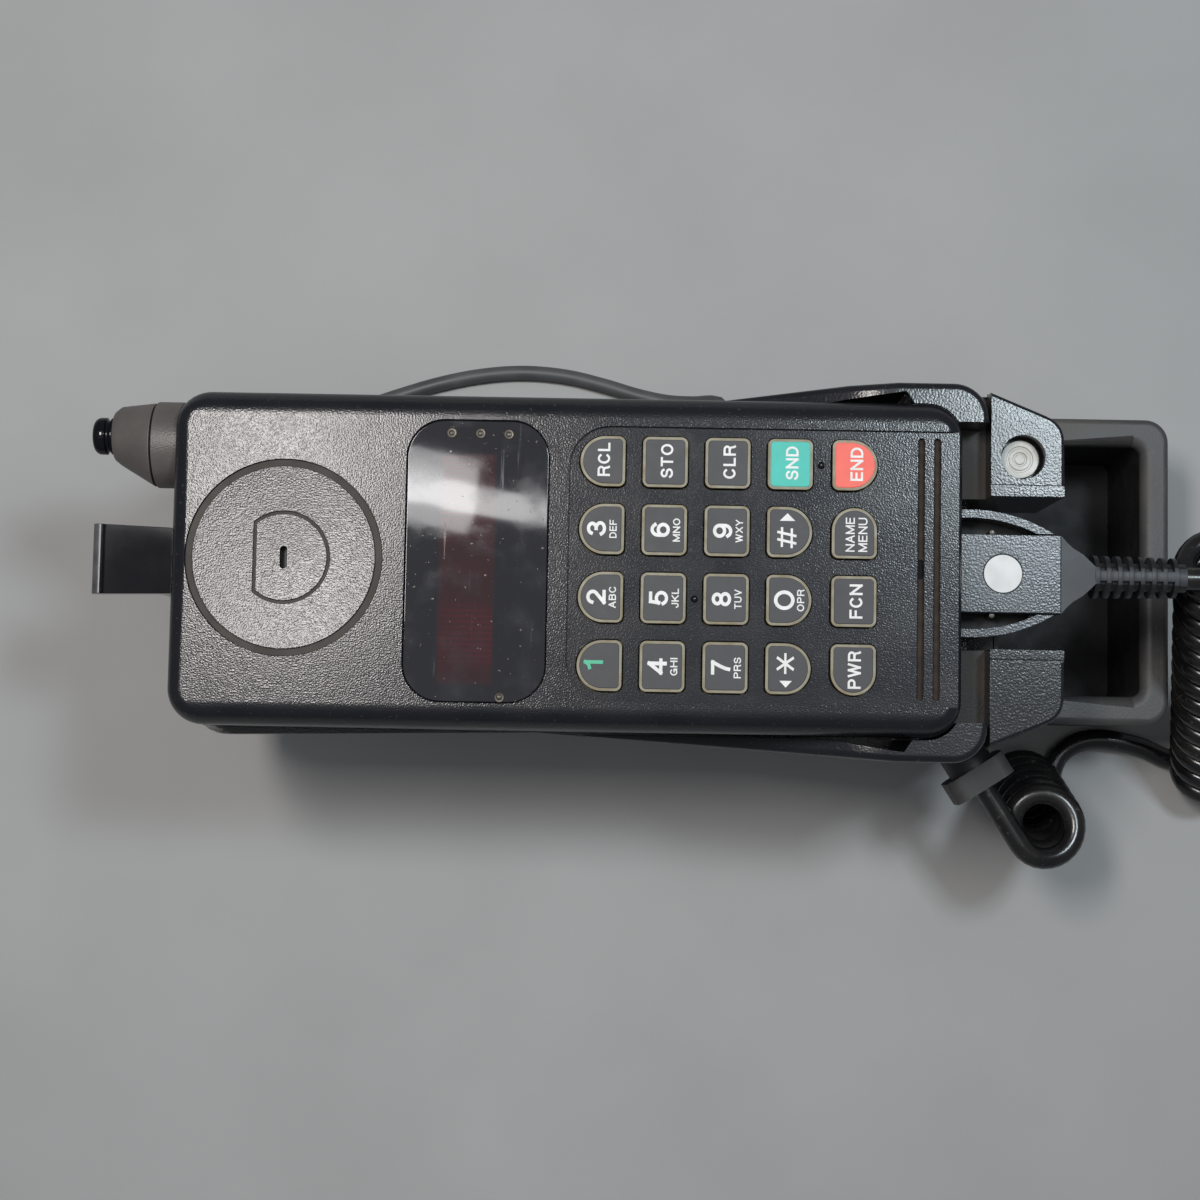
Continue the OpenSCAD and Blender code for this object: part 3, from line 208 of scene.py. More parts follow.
housingLook = {
    "colour": (0.008, 0.0085, 0.012), "faded": (0.012, 0.012, 0.015), "grain": 0.31 * mm, "patch": 14 * mm,
    "gloss": (0.19, 0.23), "relief": 0.50, "depth": 0.085 * mm, "shine": 0.38, "crown": (27.9 * mm, 75.0),
    "dust": {"size": 0.7 * mm, "share": 0.25, "colour": (0.14, 0.12, 0.11)}}
housingPlastic = mouldedFinish("housingPlastic", housingLook)
capPlastic = mouldedFinish("capPlastic", {**housingLook, "dish": (midX - 54.8 * mm, 1.8)})
bedPlastic = mouldedFinish("bedPlastic", {
    "colour": (0.009, 0.010, 0.015), "faded": (0.015, 0.015, 0.018), "grain": 0.31 * mm, "patch": 9 * mm,
    "gloss": (0.19, 0.24), "relief": 0.40, "depth": 0.08 * mm, "shine": 0.36,
    "dust": {"size": 0.5 * mm, "share": 0.35, "colour": (0.16, 0.13, 0.10)}})
# dust in the slots, its colour painted darker as shade in the narrow slots
slotDustAndShade = mouldedFinish("slotDustAndShade", {
    "colour": (0.016, 0.011, 0.008), "faded": (0.050, 0.034, 0.025), "grain": 0.5 * mm, "patch": 2 * mm,
    "gloss": (0.8, 0.95), "relief": 0.6, "depth": 0.15 * mm})
pipGloss = mouldedFinish("pipGloss", {
    "colour": (0.006, 0.006, 0.007), "faded": (0.010, 0.010, 0.011), "grain": 0.8 * mm, "patch": 2 * mm,
    "gloss": (0.16, 0.22), "relief": 0.05, "depth": 0.02 * mm})
shelfDust = mouldedFinish("shelfDust", {
    "colour": (0.014, 0.012, 0.011), "faded": (0.050, 0.041, 0.033), "grain": 0.45 * mm, "patch": 7 * mm,
    "gloss": (0.55, 0.70), "relief": 0.5, "depth": 0.10 * mm})
cradlePlastic = mouldedFinish("cradlePlastic", {
    "colour": (0.007, 0.008, 0.011), "faded": (0.012, 0.012, 0.015), "grain": 0.42 * mm, "patch": 18 * mm,
    "gloss": (0.20, 0.25), "relief": 0.45, "depth": 0.085 * mm, "shine": 0.45,
    "dust": {"size": 0.8 * mm, "share": 0.25, "colour": (0.15, 0.13, 0.11)}})
basePlastic = mouldedFinish("basePlastic", {
    "colour": (0.008, 0.008, 0.010), "faded": (0.014, 0.013, 0.014), "grain": 0.45 * mm, "patch": 16 * mm,
    "gloss": (0.42, 0.55), "relief": 0.35, "depth": 0.07 * mm})
# a lighter grey for the clip's tip: a painted highlight on its bend
clipPaintedHighlight = mouldedFinish("clipPaintedHighlight", {
    "colour": (0.050, 0.050, 0.054), "faded": (0.10, 0.10, 0.105), "grain": 0.8 * mm, "patch": 4 * mm,
    "gloss": (0.26, 0.34), "relief": 0.10, "depth": 0.03 * mm})
clipPlastic = mouldedFinish("clipPlastic", {
    "colour": (0.004, 0.004, 0.006), "faded": (0.006, 0.006, 0.008), "grain": 1.2 * mm, "patch": 9 * mm,
    "gloss": (0.05, 0.08), "relief": 0.02, "depth": 0.01 * mm, "shine": 0.2})
boxPlastic = mouldedFinish("boxPlastic", {
    "colour": (0.044, 0.044, 0.048), "faded": (0.072, 0.069, 0.064), "grain": 0.55 * mm, "patch": 16 * mm,
    "gloss": (0.44, 0.58), "relief": 0.40, "depth": 0.09 * mm,
    "dust": {"size": 0.9 * mm, "share": 0.35, "colour": (0.14, 0.11, 0.08)}})
slatePlastic = mouldedFinish("slatePlastic", {
    "colour": (0.026, 0.031, 0.039), "faded": (0.040, 0.046, 0.054), "grain": 0.42 * mm, "patch": 6 * mm,
    "gloss": (0.23, 0.29), "relief": 0.50, "depth": 0.09 * mm})
# a dark finish for painted shade: laid on recess walls, hollow floors and the box's well
paintedShade = mouldedFinish("paintedShade", {
    "colour": (0.006, 0.007, 0.009), "faded": (0.012, 0.012, 0.013), "grain": 0.50 * mm, "patch": 4 * mm,
    "gloss": (0.60, 0.75), "relief": 0.30, "depth": 0.06 * mm})
sleevePlastic = mouldedFinish("sleevePlastic", {
    "colour": (0.082, 0.072, 0.068), "faded": (0.105, 0.092, 0.085), "grain": 0.32 * mm, "patch": 7 * mm,
    "gloss": (0.40, 0.48), "relief": 0.60, "depth": 0.10 * mm})
ribRubber = mouldedFinish("ribRubber", {
    "colour": (0.006, 0.006, 0.007), "faded": (0.012, 0.012, 0.013), "grain": 0.6 * mm, "patch": 4 * mm,
    "gloss": (0.36, 0.48), "relief": 0.12, "depth": 0.05 * mm})
sunkDust = mouldedFinish("sunkDust", {
    "colour": (0.060, 0.054, 0.050), "faded": (0.090, 0.080, 0.072), "grain": 0.26 * mm, "patch": 5 * mm,
    "gloss": (0.75, 0.90), "relief": 0.50, "depth": 0.06 * mm, "shine": 0.2})
bootRubber = mouldedFinish("bootRubber", {
    "colour": (0.026, 0.029, 0.035), "faded": (0.042, 0.045, 0.051), "grain": 0.6 * mm, "patch": 6 * mm,
    "gloss": (0.45, 0.58), "relief": 0.12, "depth": 0.05 * mm})
socketRubber = mouldedFinish("socketRubber", {
    "colour": (0.030, 0.029, 0.028), "faded": (0.075, 0.070, 0.066), "grain": 0.6 * mm, "patch": 5 * mm,
    "gloss": (0.5, 0.65), "relief": 0.2, "depth": 0.06 * mm})
cordRubber = mouldedFinish("cordRubber", {
    "colour": (0.006, 0.006, 0.007), "faded": (0.014, 0.013, 0.012), "grain": 1.0 * mm, "patch": 6 * mm,
    "gloss": (0.16, 0.28), "relief": 0.08, "depth": 0.05 * mm,
    "dust": {"size": 1.1 * mm, "share": 0.25, "colour": (0.16, 0.13, 0.10)}})
leadRubber = mouldedFinish("leadRubber", {
    "colour": (0.055, 0.056, 0.060), "faded": (0.085, 0.085, 0.088), "grain": 0.9 * mm, "patch": 8 * mm,
    "gloss": (0.42, 0.52), "relief": 0.1, "depth": 0.05 * mm})
padRubber = mouldedFinish("padRubber", {
    "colour": (0.02, 0.02, 0.02), "faded": (0.035, 0.034, 0.033), "grain": 0.4 * mm, "patch": 4 * mm,
    "gloss": (0.7, 0.85), "relief": 0.3, "depth": 0.06 * mm})
creamPlastic = mouldedFinish("creamPlastic", {
    "colour": (0.56, 0.56, 0.53), "faded": (0.46, 0.45, 0.41), "grain": 0.5 * mm, "patch": 3 * mm,
    "gloss": (0.36, 0.48), "relief": 0.08, "depth": 0.04 * mm})
dotPlastic = mouldedFinish("dotPlastic", {
    "colour": (0.66, 0.66, 0.66), "faded": (0.60, 0.60, 0.59), "grain": 0.6 * mm, "patch": 4 * mm,
    "gloss": (0.40, 0.50), "relief": 0.05, "depth": 0.03 * mm})
keySide = mouldedFinish("keySide", {
    "colour": (0.060, 0.042, 0.018), "faded": (0.11, 0.075, 0.030), "grain": 0.5 * mm, "patch": 2.5 * mm,
    "gloss": (0.38, 0.52), "relief": 0.10, "depth": 0.04 * mm})
keyRim = mouldedFinish("keyRim", {
    "colour": (0.26, 0.235, 0.165), "faded": (0.19, 0.155, 0.085), "grain": 0.5 * mm, "patch": 2.5 * mm,
    "gloss": (0.38, 0.52), "relief": 0.08, "depth": 0.03 * mm})
keyTop = mouldedFinish("keyTop", {
    "colour": (0.034, 0.034, 0.038), "faded": (0.046, 0.045, 0.049), "grain": 0.26 * mm, "patch": 3 * mm,
    "gloss": (0.48, 0.58), "relief": 0.22, "depth": 0.05 * mm})
sendTop = mouldedFinish("sendTop", {
    "colour": (0.040, 0.46, 0.38), "faded": (0.055, 0.52, 0.44), "grain": 0.26 * mm, "patch": 3 * mm,
    "gloss": (0.45, 0.55), "relief": 0.18, "depth": 0.05 * mm})
endTop = mouldedFinish("endTop", {
    "colour": (0.80, 0.105, 0.075), "faded": (0.88, 0.150, 0.110), "grain": 0.26 * mm, "patch": 3 * mm,
    "gloss": (0.45, 0.55), "relief": 0.18, "depth": 0.05 * mm})
legendWhite = mouldedFinish("legendWhite", {
    "colour": (0.80, 0.80, 0.78), "faded": (0.70, 0.70, 0.67), "grain": 0.3 * mm, "patch": 2 * mm,
    "gloss": (0.45, 0.55), "relief": 0.05, "depth": 0.02 * mm})
legendMint = mouldedFinish("legendMint", {
    "colour": (0.055, 0.42, 0.24), "faded": (0.075, 0.50, 0.30), "grain": 0.3 * mm, "patch": 2 * mm,
    "gloss": (0.45, 0.55), "relief": 0.05, "depth": 0.02 * mm})
steelFinish = mouldedFinish("steelFinish", {
    "colour": (0.50, 0.50, 0.51), "faded": (0.40, 0.39, 0.38), "grain": 0.4 * mm, "patch": 3 * mm,
    "gloss": (0.25, 0.38), "relief": 0.08, "depth": 0.03 * mm, "metal": 1.0})
goldFinish = mouldedFinish("goldFinish", {
    "colour": (0.78, 0.56, 0.22), "faded": (0.68, 0.47, 0.18), "grain": 0.4 * mm, "patch": 2 * mm,
    "gloss": (0.22, 0.34), "relief": 0.06, "depth": 0.02 * mm, "metal": 1.0})
boardLaminate = mouldedFinish("boardLaminate", {
    "colour": (0.016, 0.085, 0.045), "faded": (0.028, 0.12, 0.065), "grain": 0.5 * mm, "patch": 4 * mm,
    "gloss": (0.35, 0.5), "relief": 0.2, "depth": 0.05 * mm})
matRubber = mouldedFinish("matRubber", {
    "colour": (0.26, 0.21, 0.13), "faded": (0.32, 0.27, 0.18), "grain": 0.5 * mm, "patch": 4 * mm,
    "gloss": (0.55, 0.7), "relief": 0.15, "depth": 0.05 * mm})
displayFace = mouldedFinish("displayFace", {
    "colour": (0.12, 0.010, 0.014), "faded": (0.16, 0.014, 0.018), "grain": 0.5 * mm, "patch": 4 * mm,
    "gloss": (0.3, 0.4), "relief": 0.1, "depth": 0.03 * mm})
ringMetal = mouldedFinish("ringMetal", {
    "colour": (0.075, 0.068, 0.055), "faded": (0.045, 0.040, 0.034), "grain": 0.3 * mm, "patch": 1 * mm,
    "gloss": (0.3, 0.45), "relief": 0.1, "depth": 0.03 * mm, "metal": 0.6})

# lens: a polished dark filter with a faint red window, specks of dirt and fine scratches

lensLook = {
    "colour": (0.006, 0.006, 0.010), "red": (0.022, 0.0035, 0.006), "lit": (0.046, 0.004, 0.008),
    "window": ((-24.5, -13.9), (-23.8, 20.7)), "soft": (0.3 * mm, 0.5 * mm),
    "bars": 1.1 * mm, "barShare": (-1, 1, 0.35, 1),
    "cellStretch": (0.3, 1, 1), "cellShare": (0.42, 0.62, 0, 1),
    "haze": (0.03, 0.03, 0.035), "hazeShare": (0.5, 0.75, 0, 0.5), "polish": (0, 0.5, 0.035, 0.10),
    "speck": (0.16, 0.10, 0.06), "speckShare": (0.70, 0.74, 0, 0.5), "speckDull": 0.5,
    "scratchStretch": (1.0, 0.06, 1), "scratchShare": (0.66, 0.72, 0, 1), "scratchDull": 0.10,
    "shine": 0.6, "waveStrength": 0.03, "waveDepth": 1.0 * mm,
    # size and detail of each noise
    "cellNoise": (8.0 * mm, 1), "hazeNoise": (7 * mm, 5), "speckNoise": (0.8 * mm, 3),
    "scratchNoise": (1.6 * mm, 3), "waveNoise": (22 * mm, 2)}


def windowMask(tree, value, low, high, soft):
    rise = remap(tree, value, low - soft, low + soft, 0, 1)
    fall = remap(tree, value, high - soft, high + soft, 1, 0)
    return combine(tree, "MULTIPLY", rise, fall)


def lensFinish():
    look = lensLook
    material, tree, shader, coords = startMaterial("lensPlastic")
    x, y = axesOf(tree, coords)
    (x0, x1), (y0, y1) = look["window"]
    mask = combine(tree, "MULTIPLY",
                   windowMask(tree, x, midX + x0 * mm, midX + x1 * mm, look["soft"][0]),
                   windowMask(tree, y, y0 * mm, y1 * mm, look["soft"][1]))
    bars = combine(tree, "SINE", combine(tree, "MULTIPLY", y, math.tau / look["bars"]), 0.0)
    cells = noiseAt(tree, coords, *look["cellNoise"], stretch=look["cellStretch"])
    lit = combine(tree, "MULTIPLY", remap(tree, bars, *look["barShare"]),
                  remap(tree, cells, *look["cellShare"]))
    red = mixColour(tree, lit, look["red"], look["lit"])
    colour = mixColour(tree, mask, look["colour"], red)
    haze = remap(tree, noiseAt(tree, coords, *look["hazeNoise"]), *look["hazeShare"])
    colour = mixColour(tree, haze, colour, look["haze"])
    specks = remap(tree, noiseAt(tree, coords, *look["speckNoise"]), *look["speckShare"])
    colour = mixColour(tree, specks, colour, look["speck"])
    tree.links.new(colour, shader.inputs["Base Color"])
    scratch = noiseAt(tree, coords, *look["scratchNoise"], stretch=look["scratchStretch"])
    scratch = remap(tree, scratch, *look["scratchShare"])
    dull = remap(tree, haze, *look["polish"])
    for marks, share in ((specks, look["speckDull"]), (scratch, look["scratchDull"])):
        dull = combine(tree, "ADD", dull, combine(tree, "MULTIPLY", marks, share))
    tree.links.new(dull, shader.inputs["Roughness"])
    shader.inputs["Specular IOR Level"].default_value = look["shine"]
    wave = noiseAt(tree, coords, *look["waveNoise"])
    tree.links.new(bumpFrom(tree, wave, look["waveStrength"], look["waveDepth"]), shader.inputs["Normal"])
    return material


lensPlastic = lensFinish()
print("finishes mixed:", len(bpy.data.materials))


# modelling helpers

softLook = {"weld": 0.002 * mm, "flat": 0.6, "smooth": 38, "weight": 90}  # flat and smooth in degrees
rimLook = {"corner": 0.5, "level": 0.3, "top": 0.6}  # corner in radians, Z of a side's and a top's normal


def clearSelection():
    if bpy.context.object and bpy.context.object.mode != "OBJECT":
        bpy.ops.object.mode_set(mode="OBJECT")
    bpy.ops.object.select_all(action="DESELECT")


def pick(piece):
    clearSelection()
    piece.select_set(True)
    bpy.context.view_layer.objects.active = piece


def applyAll(piece):
    pick(piece)
    for modifier in list(piece.modifiers):
        bpy.ops.object.modifier_apply(modifier=modifier.name)


def bake(piece):
    # puts a piece's place, turn and scale into its mesh
    pick(piece)
    bpy.ops.object.transform_apply(location=True, rotation=True, scale=True)


def smooth(piece):
    pick(piece)
    bpy.ops.object.shade_smooth_by_angle(angle=math.radians(softLook["smooth"]))


def paint(piece, *materials):
    piece.data.materials.clear()
    for material in materials:
        piece.data.materials.append(material)


def paintFaces(piece, index, test):
    for face in piece.data.polygons:
        if test(face.center, face.normal):
            face.material_index = index


def settle(piece):
    # keeps flat faces flat beside their rounded edges
    smooth(piece)
    normals = piece.modifiers.new("normals", "WEIGHTED_NORMAL")
    normals.weight = softLook["weight"]
    normals.keep_sharp = True
    applyAll(piece)


def roundChosen(piece, width, segments, chosen):
    # rounds only the sharp edges between an upper face and a side that pass the test
    sides = {}
    for face in piece.data.polygons:
        for key in face.edge_keys:
            sides.setdefault(key, []).append(face.normal.copy())
    weight = piece.data.attributes.new("bevel_weight_edge", "FLOAT", "EDGE")
    places = [v.co for v in piece.data.vertices]
    for edge in piece.data.edges:
        pair = sides.get(edge.key, [])
        if len(pair) == 2 and pair[0].angle(pair[1], 0) > rimLook["corner"]:
            side, upper = sorted(pair, key=lambda n: n.z)
            centre = (places[edge.vertices[0]] + places[edge.vertices[1]]) / 2
            if abs(side.z) < rimLook["level"] and upper.z > rimLook["top"] and chosen(centre, side):
                weight.data[edge.index].value = 1
    bevel = piece.modifiers.new("rims", "BEVEL")
    bevel.width = width
    bevel.segments = segments
    bevel.limit_method = "WEIGHT"
    bevel.use_clamp_overlap = False
    applyAll(piece)
    piece.data.attributes.remove(piece.data.attributes["bevel_weight_edge"])


def softCopy(node, name, edge, segments=2, angle=32, rims=(), rides=True):
    # the node's own shape as one merged skin, with its sharp edges rounded as a mould leaves them
    piece = bpy.data.objects.new(name, nodes[node].data.copy())
    bpy.context.scene.collection.objects.link(piece)
    pick(piece)
    bpy.ops.mesh.customdata_custom_splitnormals_clear()
    bpy.ops.object.mode_set(mode="EDIT")
    bpy.ops.mesh.select_all(action="SELECT")
    bpy.ops.mesh.remove_doubles(threshold=softLook["weld"])
    bpy.ops.mesh.dissolve_limited(angle_limit=math.radians(softLook["flat"]))
    bpy.ops.object.mode_set(mode="OBJECT")
    for rim in rims:
        roundChosen(piece, *rim)
    bevel = piece.modifiers.new("edges", "BEVEL")
    bevel.width = edge
    bevel.segments = segments
    bevel.limit_method = "ANGLE"
    bevel.angle_limit = math.radians(angle)
    bevel.use_clamp_overlap = True
    bevel.miter_outer = "MITER_ARC"
    applyAll(piece)
    settle(piece)
    if rides:
        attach(piece, bodyOf[node])
    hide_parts(node)
    return piece


# cords: the same routes as the solids follow, in finer steps

curlyLook = {
    "width": 4.6, "curl": 13.0, "dropTurns": 14.5, "climbTurns": 6 + 147 / 360, "perTurn": 28,
    "reliefEnd": (122.4, 0, 72), "dropEntry": (130.4, 0, 72), "dropFoot": (146, -40, 6.8), "lean": (0, -5, 4),
    "tableRun": [(139, -36), (131, -33), (123, -31.6), (117, -32.4), (112.4, -36)], "lift": 0.1,
    "climbFoot": (104, -42, 2.5), "socket": (78.6, -27, 40), "socketTurn": 33, "socketReach": 18.5,
    "leadIn": 14.4, "step": 1.4 * mm, "sides": 5, "stretchFrom": 0.48}
leadLook = {
    "width": 3.4, "step": 1.5 * mm, "sides": 5,
    "route": [(-65, 12, 40), (-68.4, 12, 40), (-72, 14, 35), (-76, 18, 26), (-76, 25, 15), (-71, 33, 6),
              (-63, 38, 1.9), (-53, 42, 1.7), (-43, 45.6, 1.7), (-33, 48.8, 1.7), (-23, 51, 1.7),
              (-13, 51.9, 1.7), (-3, 51.2, 1.7), (6, 49.2, 1.7), (14, 46.9, 1.9), (21, 45.4, 2.7),
              (27, 44.9, 4.2), (32.6, 44.535, 7), (34.786, 41.93, 7)]}


def curlyRoute():
    look = curlyLook
    r = look["curl"] / 2
    entry, foot, relief = Vector(look["dropEntry"]), Vector(look["dropFoot"]), Vector(look["reliefEnd"])
    axis = (foot - entry + Vector(look["lean"])).normalized()
    across = Vector((1, 0, 0))
    across = (across - across.dot(axis) * axis).normalized()
    up = axis.cross(across)
    start = entry - r * up
    turn = math.radians(look["socketTurn"])
    out = Vector((math.sin(turn), -math.cos(turn), 0))
    leave = Vector(look["socket"]) + look["socketReach"] * out
    top = leave + look["leadIn"] * out + r * Vector((math.cos(turn), math.sin(turn), 0))
    low = Vector(look["climbFoot"])
    width = look["width"]
    route = [relief, relief + Vector((width / 2, 0, 0)), relief + Vector((width, 0, 0))]
    steps = int(look["dropTurns"] * look["perTurn"])
    for i in range(steps + 1):
        f = i / steps
        a = math.tau * look["dropTurns"] * f
        route.append(start + (foot - start) * f + r * (math.sin(a) * across + math.cos(a) * up))
    route += [Vector((x, y, width / 2 + look["lift"])) for x, y in look["tableRun"]]
    steps = int(look["climbTurns"] * look["perTurn"])
    for i in range(steps + 1):
        f = i / steps
        a = -math.tau * look["climbTurns"] * f
        route.append(low + (top - low) * f + r * Vector((math.cos(a), math.sin(a), 0)))
    route += [leave + width * out, leave + width / 2 * out, leave]
    return [spot(*p) for p in route]


def smoothRoute(points, step):
    # an even line through the points, rounded between them
    line = []
    last = len(points) - 1
    least = 1e-9  # keeps a division from failing
    for i in range(last):
        a, b, c, d = points[max(i - 1, 0)], points[i], points[i + 1], points[min(i + 2, last)]
        length = (c - b).length
        count = max(1, round(length / step))
        inward = (c - a) * (length / max((b - a).length + length, least))
        onward = (d - b) * (length / max((d - c).length + length, least))
        for k in range(count):
            t = k / count
            line.append((2 * t**3 - 3 * t**2 + 1) * b + (t**3 - 2 * t**2 + t) * inward
                        + (3 * t**2 - 2 * t**3) * c + (t**3 - t**2) * onward)
    return line + [points[last]]


def tubeAlong(name, line, width, sides):
    curve = bpy.data.curves.new(name, "CURVE")
    curve.dimensions = "3D"
    curve.bevel_depth = width / 2
    curve.bevel_resolution = sides
    curve.use_fill_caps = True
    curve.twist_mode = "MINIMUM"
    spline = curve.splines.new("POLY")
    spline.points.add(len(line) - 1)
    for point, place in zip(spline.points, line):
        point.co = (*place, 1)
    tube = bpy.data.objects.new(name, curve)
    bpy.context.scene.collection.objects.link(tube)
    pick(tube)
    bpy.ops.object.convert(target="MESH")
    tube = bpy.context.object
    bpy.ops.object.shade_smooth()
    return tube


def makeCords():
    line = smoothRoute(curlyRoute(), curlyLook["step"])
    curly = tubeAlong("curlyCord", line, curlyLook["width"] * mm, curlyLook["sides"])
    paint(curly, cordRubber)
    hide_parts("curly_cord")
    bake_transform(curly)
    line = smoothRoute([spot(*p) for p in leadLook["route"]], leadLook["step"])
    lead = tubeAlong("leadCable", line, leadLook["width"] * mm, leadLook["sides"])
    paint(lead, leadRubber)
    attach(lead, "cradle")
    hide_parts("lead_cable")


makeCords()


# stage: a pale table, small lamps and a broad one overhead, and a dim room

stageLook = {
    "floor": (0.37, 0.37, 0.367), "floorPatch": (0.33, 0.33, 0.327), "floorSize": 6, "patch": (60 * mm, 5),
    "patchShare": (0.3, 0.7, 0, 1), "dull": 0.6, "room": (0.80, 0.84, 0.90), "roomLight": 0.22,
    "lamps": [
        # name, place, aim, size, watts, colour
        ("warmLamp", (-172, 116, 700), (-172, 5, 84), (0.09, 0.18), 2.4, (1.0, 0.95, 0.92)),
        ("coolLamp", (250, 150, 700), (60, 0, 60), (0.10, 0.10), 1.8, (0.82, 0.94, 1.0)),
        ("skyLamp", (40, 60, 950), (40, 50, 0), (0.90, 0.70), 0.8, (1.0, 1.0, 1.0)),
        ("lensLamp", (-66, 87, 700), (-79.5, 6, 84), (0.096, 0.013), 0.036, (1.0, 1.0, 1.0)),
        ("lensGlow", (-88, 92, 705), (-101.5, 11, 84), (0.052, 0.036), 0.040, (1.0, 1.0, 1.0))]}


def setStage():
    clearSelection()
    bpy.ops.mesh.primitive_plane_add(size=stageLook["floorSize"])
    floor = bpy.context.object
    floor.name = "tableTop"
    material, tree, shader, coords = startMaterial("tablePaint")
    patch = remap(tree, noiseAt(tree, coords, *stageLook["patch"]), *stageLook["patchShare"])
    colour = mixColour(tree, patch, stageLook["floor"], stageLook["floorPatch"])
    tree.links.new(colour, shader.inputs["Base Color"])
    shader.inputs["Roughness"].default_value = stageLook["dull"]
    paint(floor, material)
    world = bpy.data.worlds.new("room")
    bpy.context.scene.world = world
    world.use_nodes = True
    background = world.node_tree.nodes["Background"]
    background.inputs["Color"].default_value = (*stageLook["room"], 1)
    background.inputs["Strength"].default_value = stageLook["roomLight"]
    for name, place, aim, size, watts, tint in stageLook["lamps"]:
        bpy.ops.object.light_add(type="AREA", location=spot(*place))
        lamp = bpy.context.object
        lamp.name = name
        lamp.rotation_mode = "QUATERNION"
        lamp.rotation_quaternion = (spot(*aim) - lamp.location).to_track_quat("-Z", "Y")
        lamp.data.shape = "RECTANGLE"
        lamp.data.size, lamp.data.size_y = size
        lamp.data.energy = watts
        lamp.data.color = tint
    bpy.context.scene.view_settings.view_transform = "Standard"
    print("stage set")


setStage()


# handset shells, with the bed round the keys, the dusty slots in their own finish painted darker as shade,
# and the earpiece recess walls painted dark as shade

shellLook = {
    "edge": 0.28 * mm, "capEdge": 0.22 * mm, "lensEdge": 0.35 * mm, "lensSegments": 3,
    "level": 0.9, "steep": 0.5, "bedDepth": 1.0 * mm, "bedFlat": 0.05 * mm, "bedMargin": 4 * mm,
    "slotMargin": 1 * mm, "slotDepth": (0.1 * mm, 1.3 * mm), "slotReach": 27 * mm, "slotEnd": 3 * mm,
    "pipRise": 0.02 * mm, "pipReach": 1.0 * mm, "recess": 3 * mm, "earReach": 20 * mm, "sunk": 0.1 * mm}


def middle(node):
    low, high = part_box(node)
    return (low + high) / 2


def makeShells():
    look = shellLook
    front = softCopy("front_housing", "frontHousing", look["edge"])
    paint(front, housingPlastic, bedPlastic, slotDustAndShade, pipGloss, paintedShade)
    bedZ = faceZ - look["bedDepth"]
    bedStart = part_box("key_1")[0].x - look["bedMargin"]
    slotStart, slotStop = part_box("key_end")[1].x + look["slotMargin"], footEnd.x - look["slotEnd"]
    slotTop, slotFloor = (bedZ - depth for depth in look["slotDepth"])
    pips = [(middle("key_5") + middle("key_8")) / 2, (middle("key_snd") + middle("key_end")) / 2]
    earMiddle = middle("earpiece_cap")
    paintFaces(front, 1, lambda c, n: n.z > look["level"] and abs(c.z - bedZ) < look["bedFlat"]
               and c.x > bedStart)
    # the slots' floors and walls: dust, painted darker as shade
    paintFaces(front, 2, lambda c, n: slotFloor < c.z < slotTop and slotStart < c.x < slotStop
               and abs(c.y) < look["slotReach"])
    paintFaces(front, 3, lambda c, n: c.z > bedZ + look["pipRise"]
               and min((c - pip).to_2d().length for pip in pips) < look["pipReach"])
    # the walls round the earpiece recess are painted dark: painted shade
    paintFaces(front, 4, lambda c, n: abs(n.z) < look["steep"] and c.z > faceZ - look["recess"]
               and (c - earMiddle).to_2d().length < look["earReach"])
    for node, name in (("rear_housing", "rearHousing"), ("battery_pack", "batteryPack")):
        paint(softCopy(node, name, look["edge"]), housingPlastic)
    cap = softCopy("earpiece_cap", "earpieceCap", look["capEdge"])
    paint(cap, capPlastic, sunkDust, paintedShade)
    paintFaces(cap, 1, lambda c, n: n.z > look["level"] and c.z < faceZ - look["sunk"])
    # the cap's side walls, the D-groove's too, are painted dark: painted shade
    paintFaces(cap, 2, lambda c, n: abs(n.z) < look["steep"])
    paint(softCopy("display_lens", "displayLens", look["lensEdge"], look["lensSegments"]), lensPlastic)
    print("handset shells made")


makeShells()


# small indicator rings set in the lens

ringLook = {"outer": 1.05 * mm, "sides": 32, "lift": 0.01 * mm,
            "steps": [(0.18, 0.12), (0.30, -0.03), (0.06, -0.08), (0.12, 0.07)],  # inward and up
            "places": [(-22.6, 24.8), (-17.0, 24.8), (-11.5, 24.7), (-12.3, -26.3)]}


def makeRings():
    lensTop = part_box("display_lens")[1].z
    for number, (x, y) in enumerate(ringLook["places"], 1):
        clearSelection()
        place = (midX + x * mm, y * mm, lensTop + ringLook["lift"])
        bpy.ops.mesh.primitive_circle_add(vertices=ringLook["sides"], radius=ringLook["outer"],
                                          fill_type="NGON", location=place)
        ring = bpy.context.object
        ring.name = f"indicatorRing{number}"
        bpy.ops.object.mode_set(mode="EDIT")
        bpy.ops.mesh.select_all(action="SELECT")
        for inward, up in ringLook["steps"]:
            bpy.ops.mesh.inset(thickness=inward * mm, depth=up * mm)
        bpy.ops.object.mode_set(mode="OBJECT")
        bake(ring)
        smooth(ring)
        paint(ring, ringMetal)
        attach(ring, "handset")
    print("indicator rings set")


makeRings()


# legends: letters drawn with one stroke width, in a box one unit high

letterLook = {"bowStep": 15, "bowLeast": 4, "join": 0.001, "spacing": 0.15, "turn": 90}


def bow(x, y, wide, high, start, stop):
    # points along a part of an oval
    count = max(letterLook["bowLeast"], round(abs(stop - start) / letterLook["bowStep"]))
    turns = [math.radians(start + (stop - start) * i / count) for i in range(count + 1)]
    return [(x + wide * math.cos(t), y + high * math.sin(t)) for t in turns]


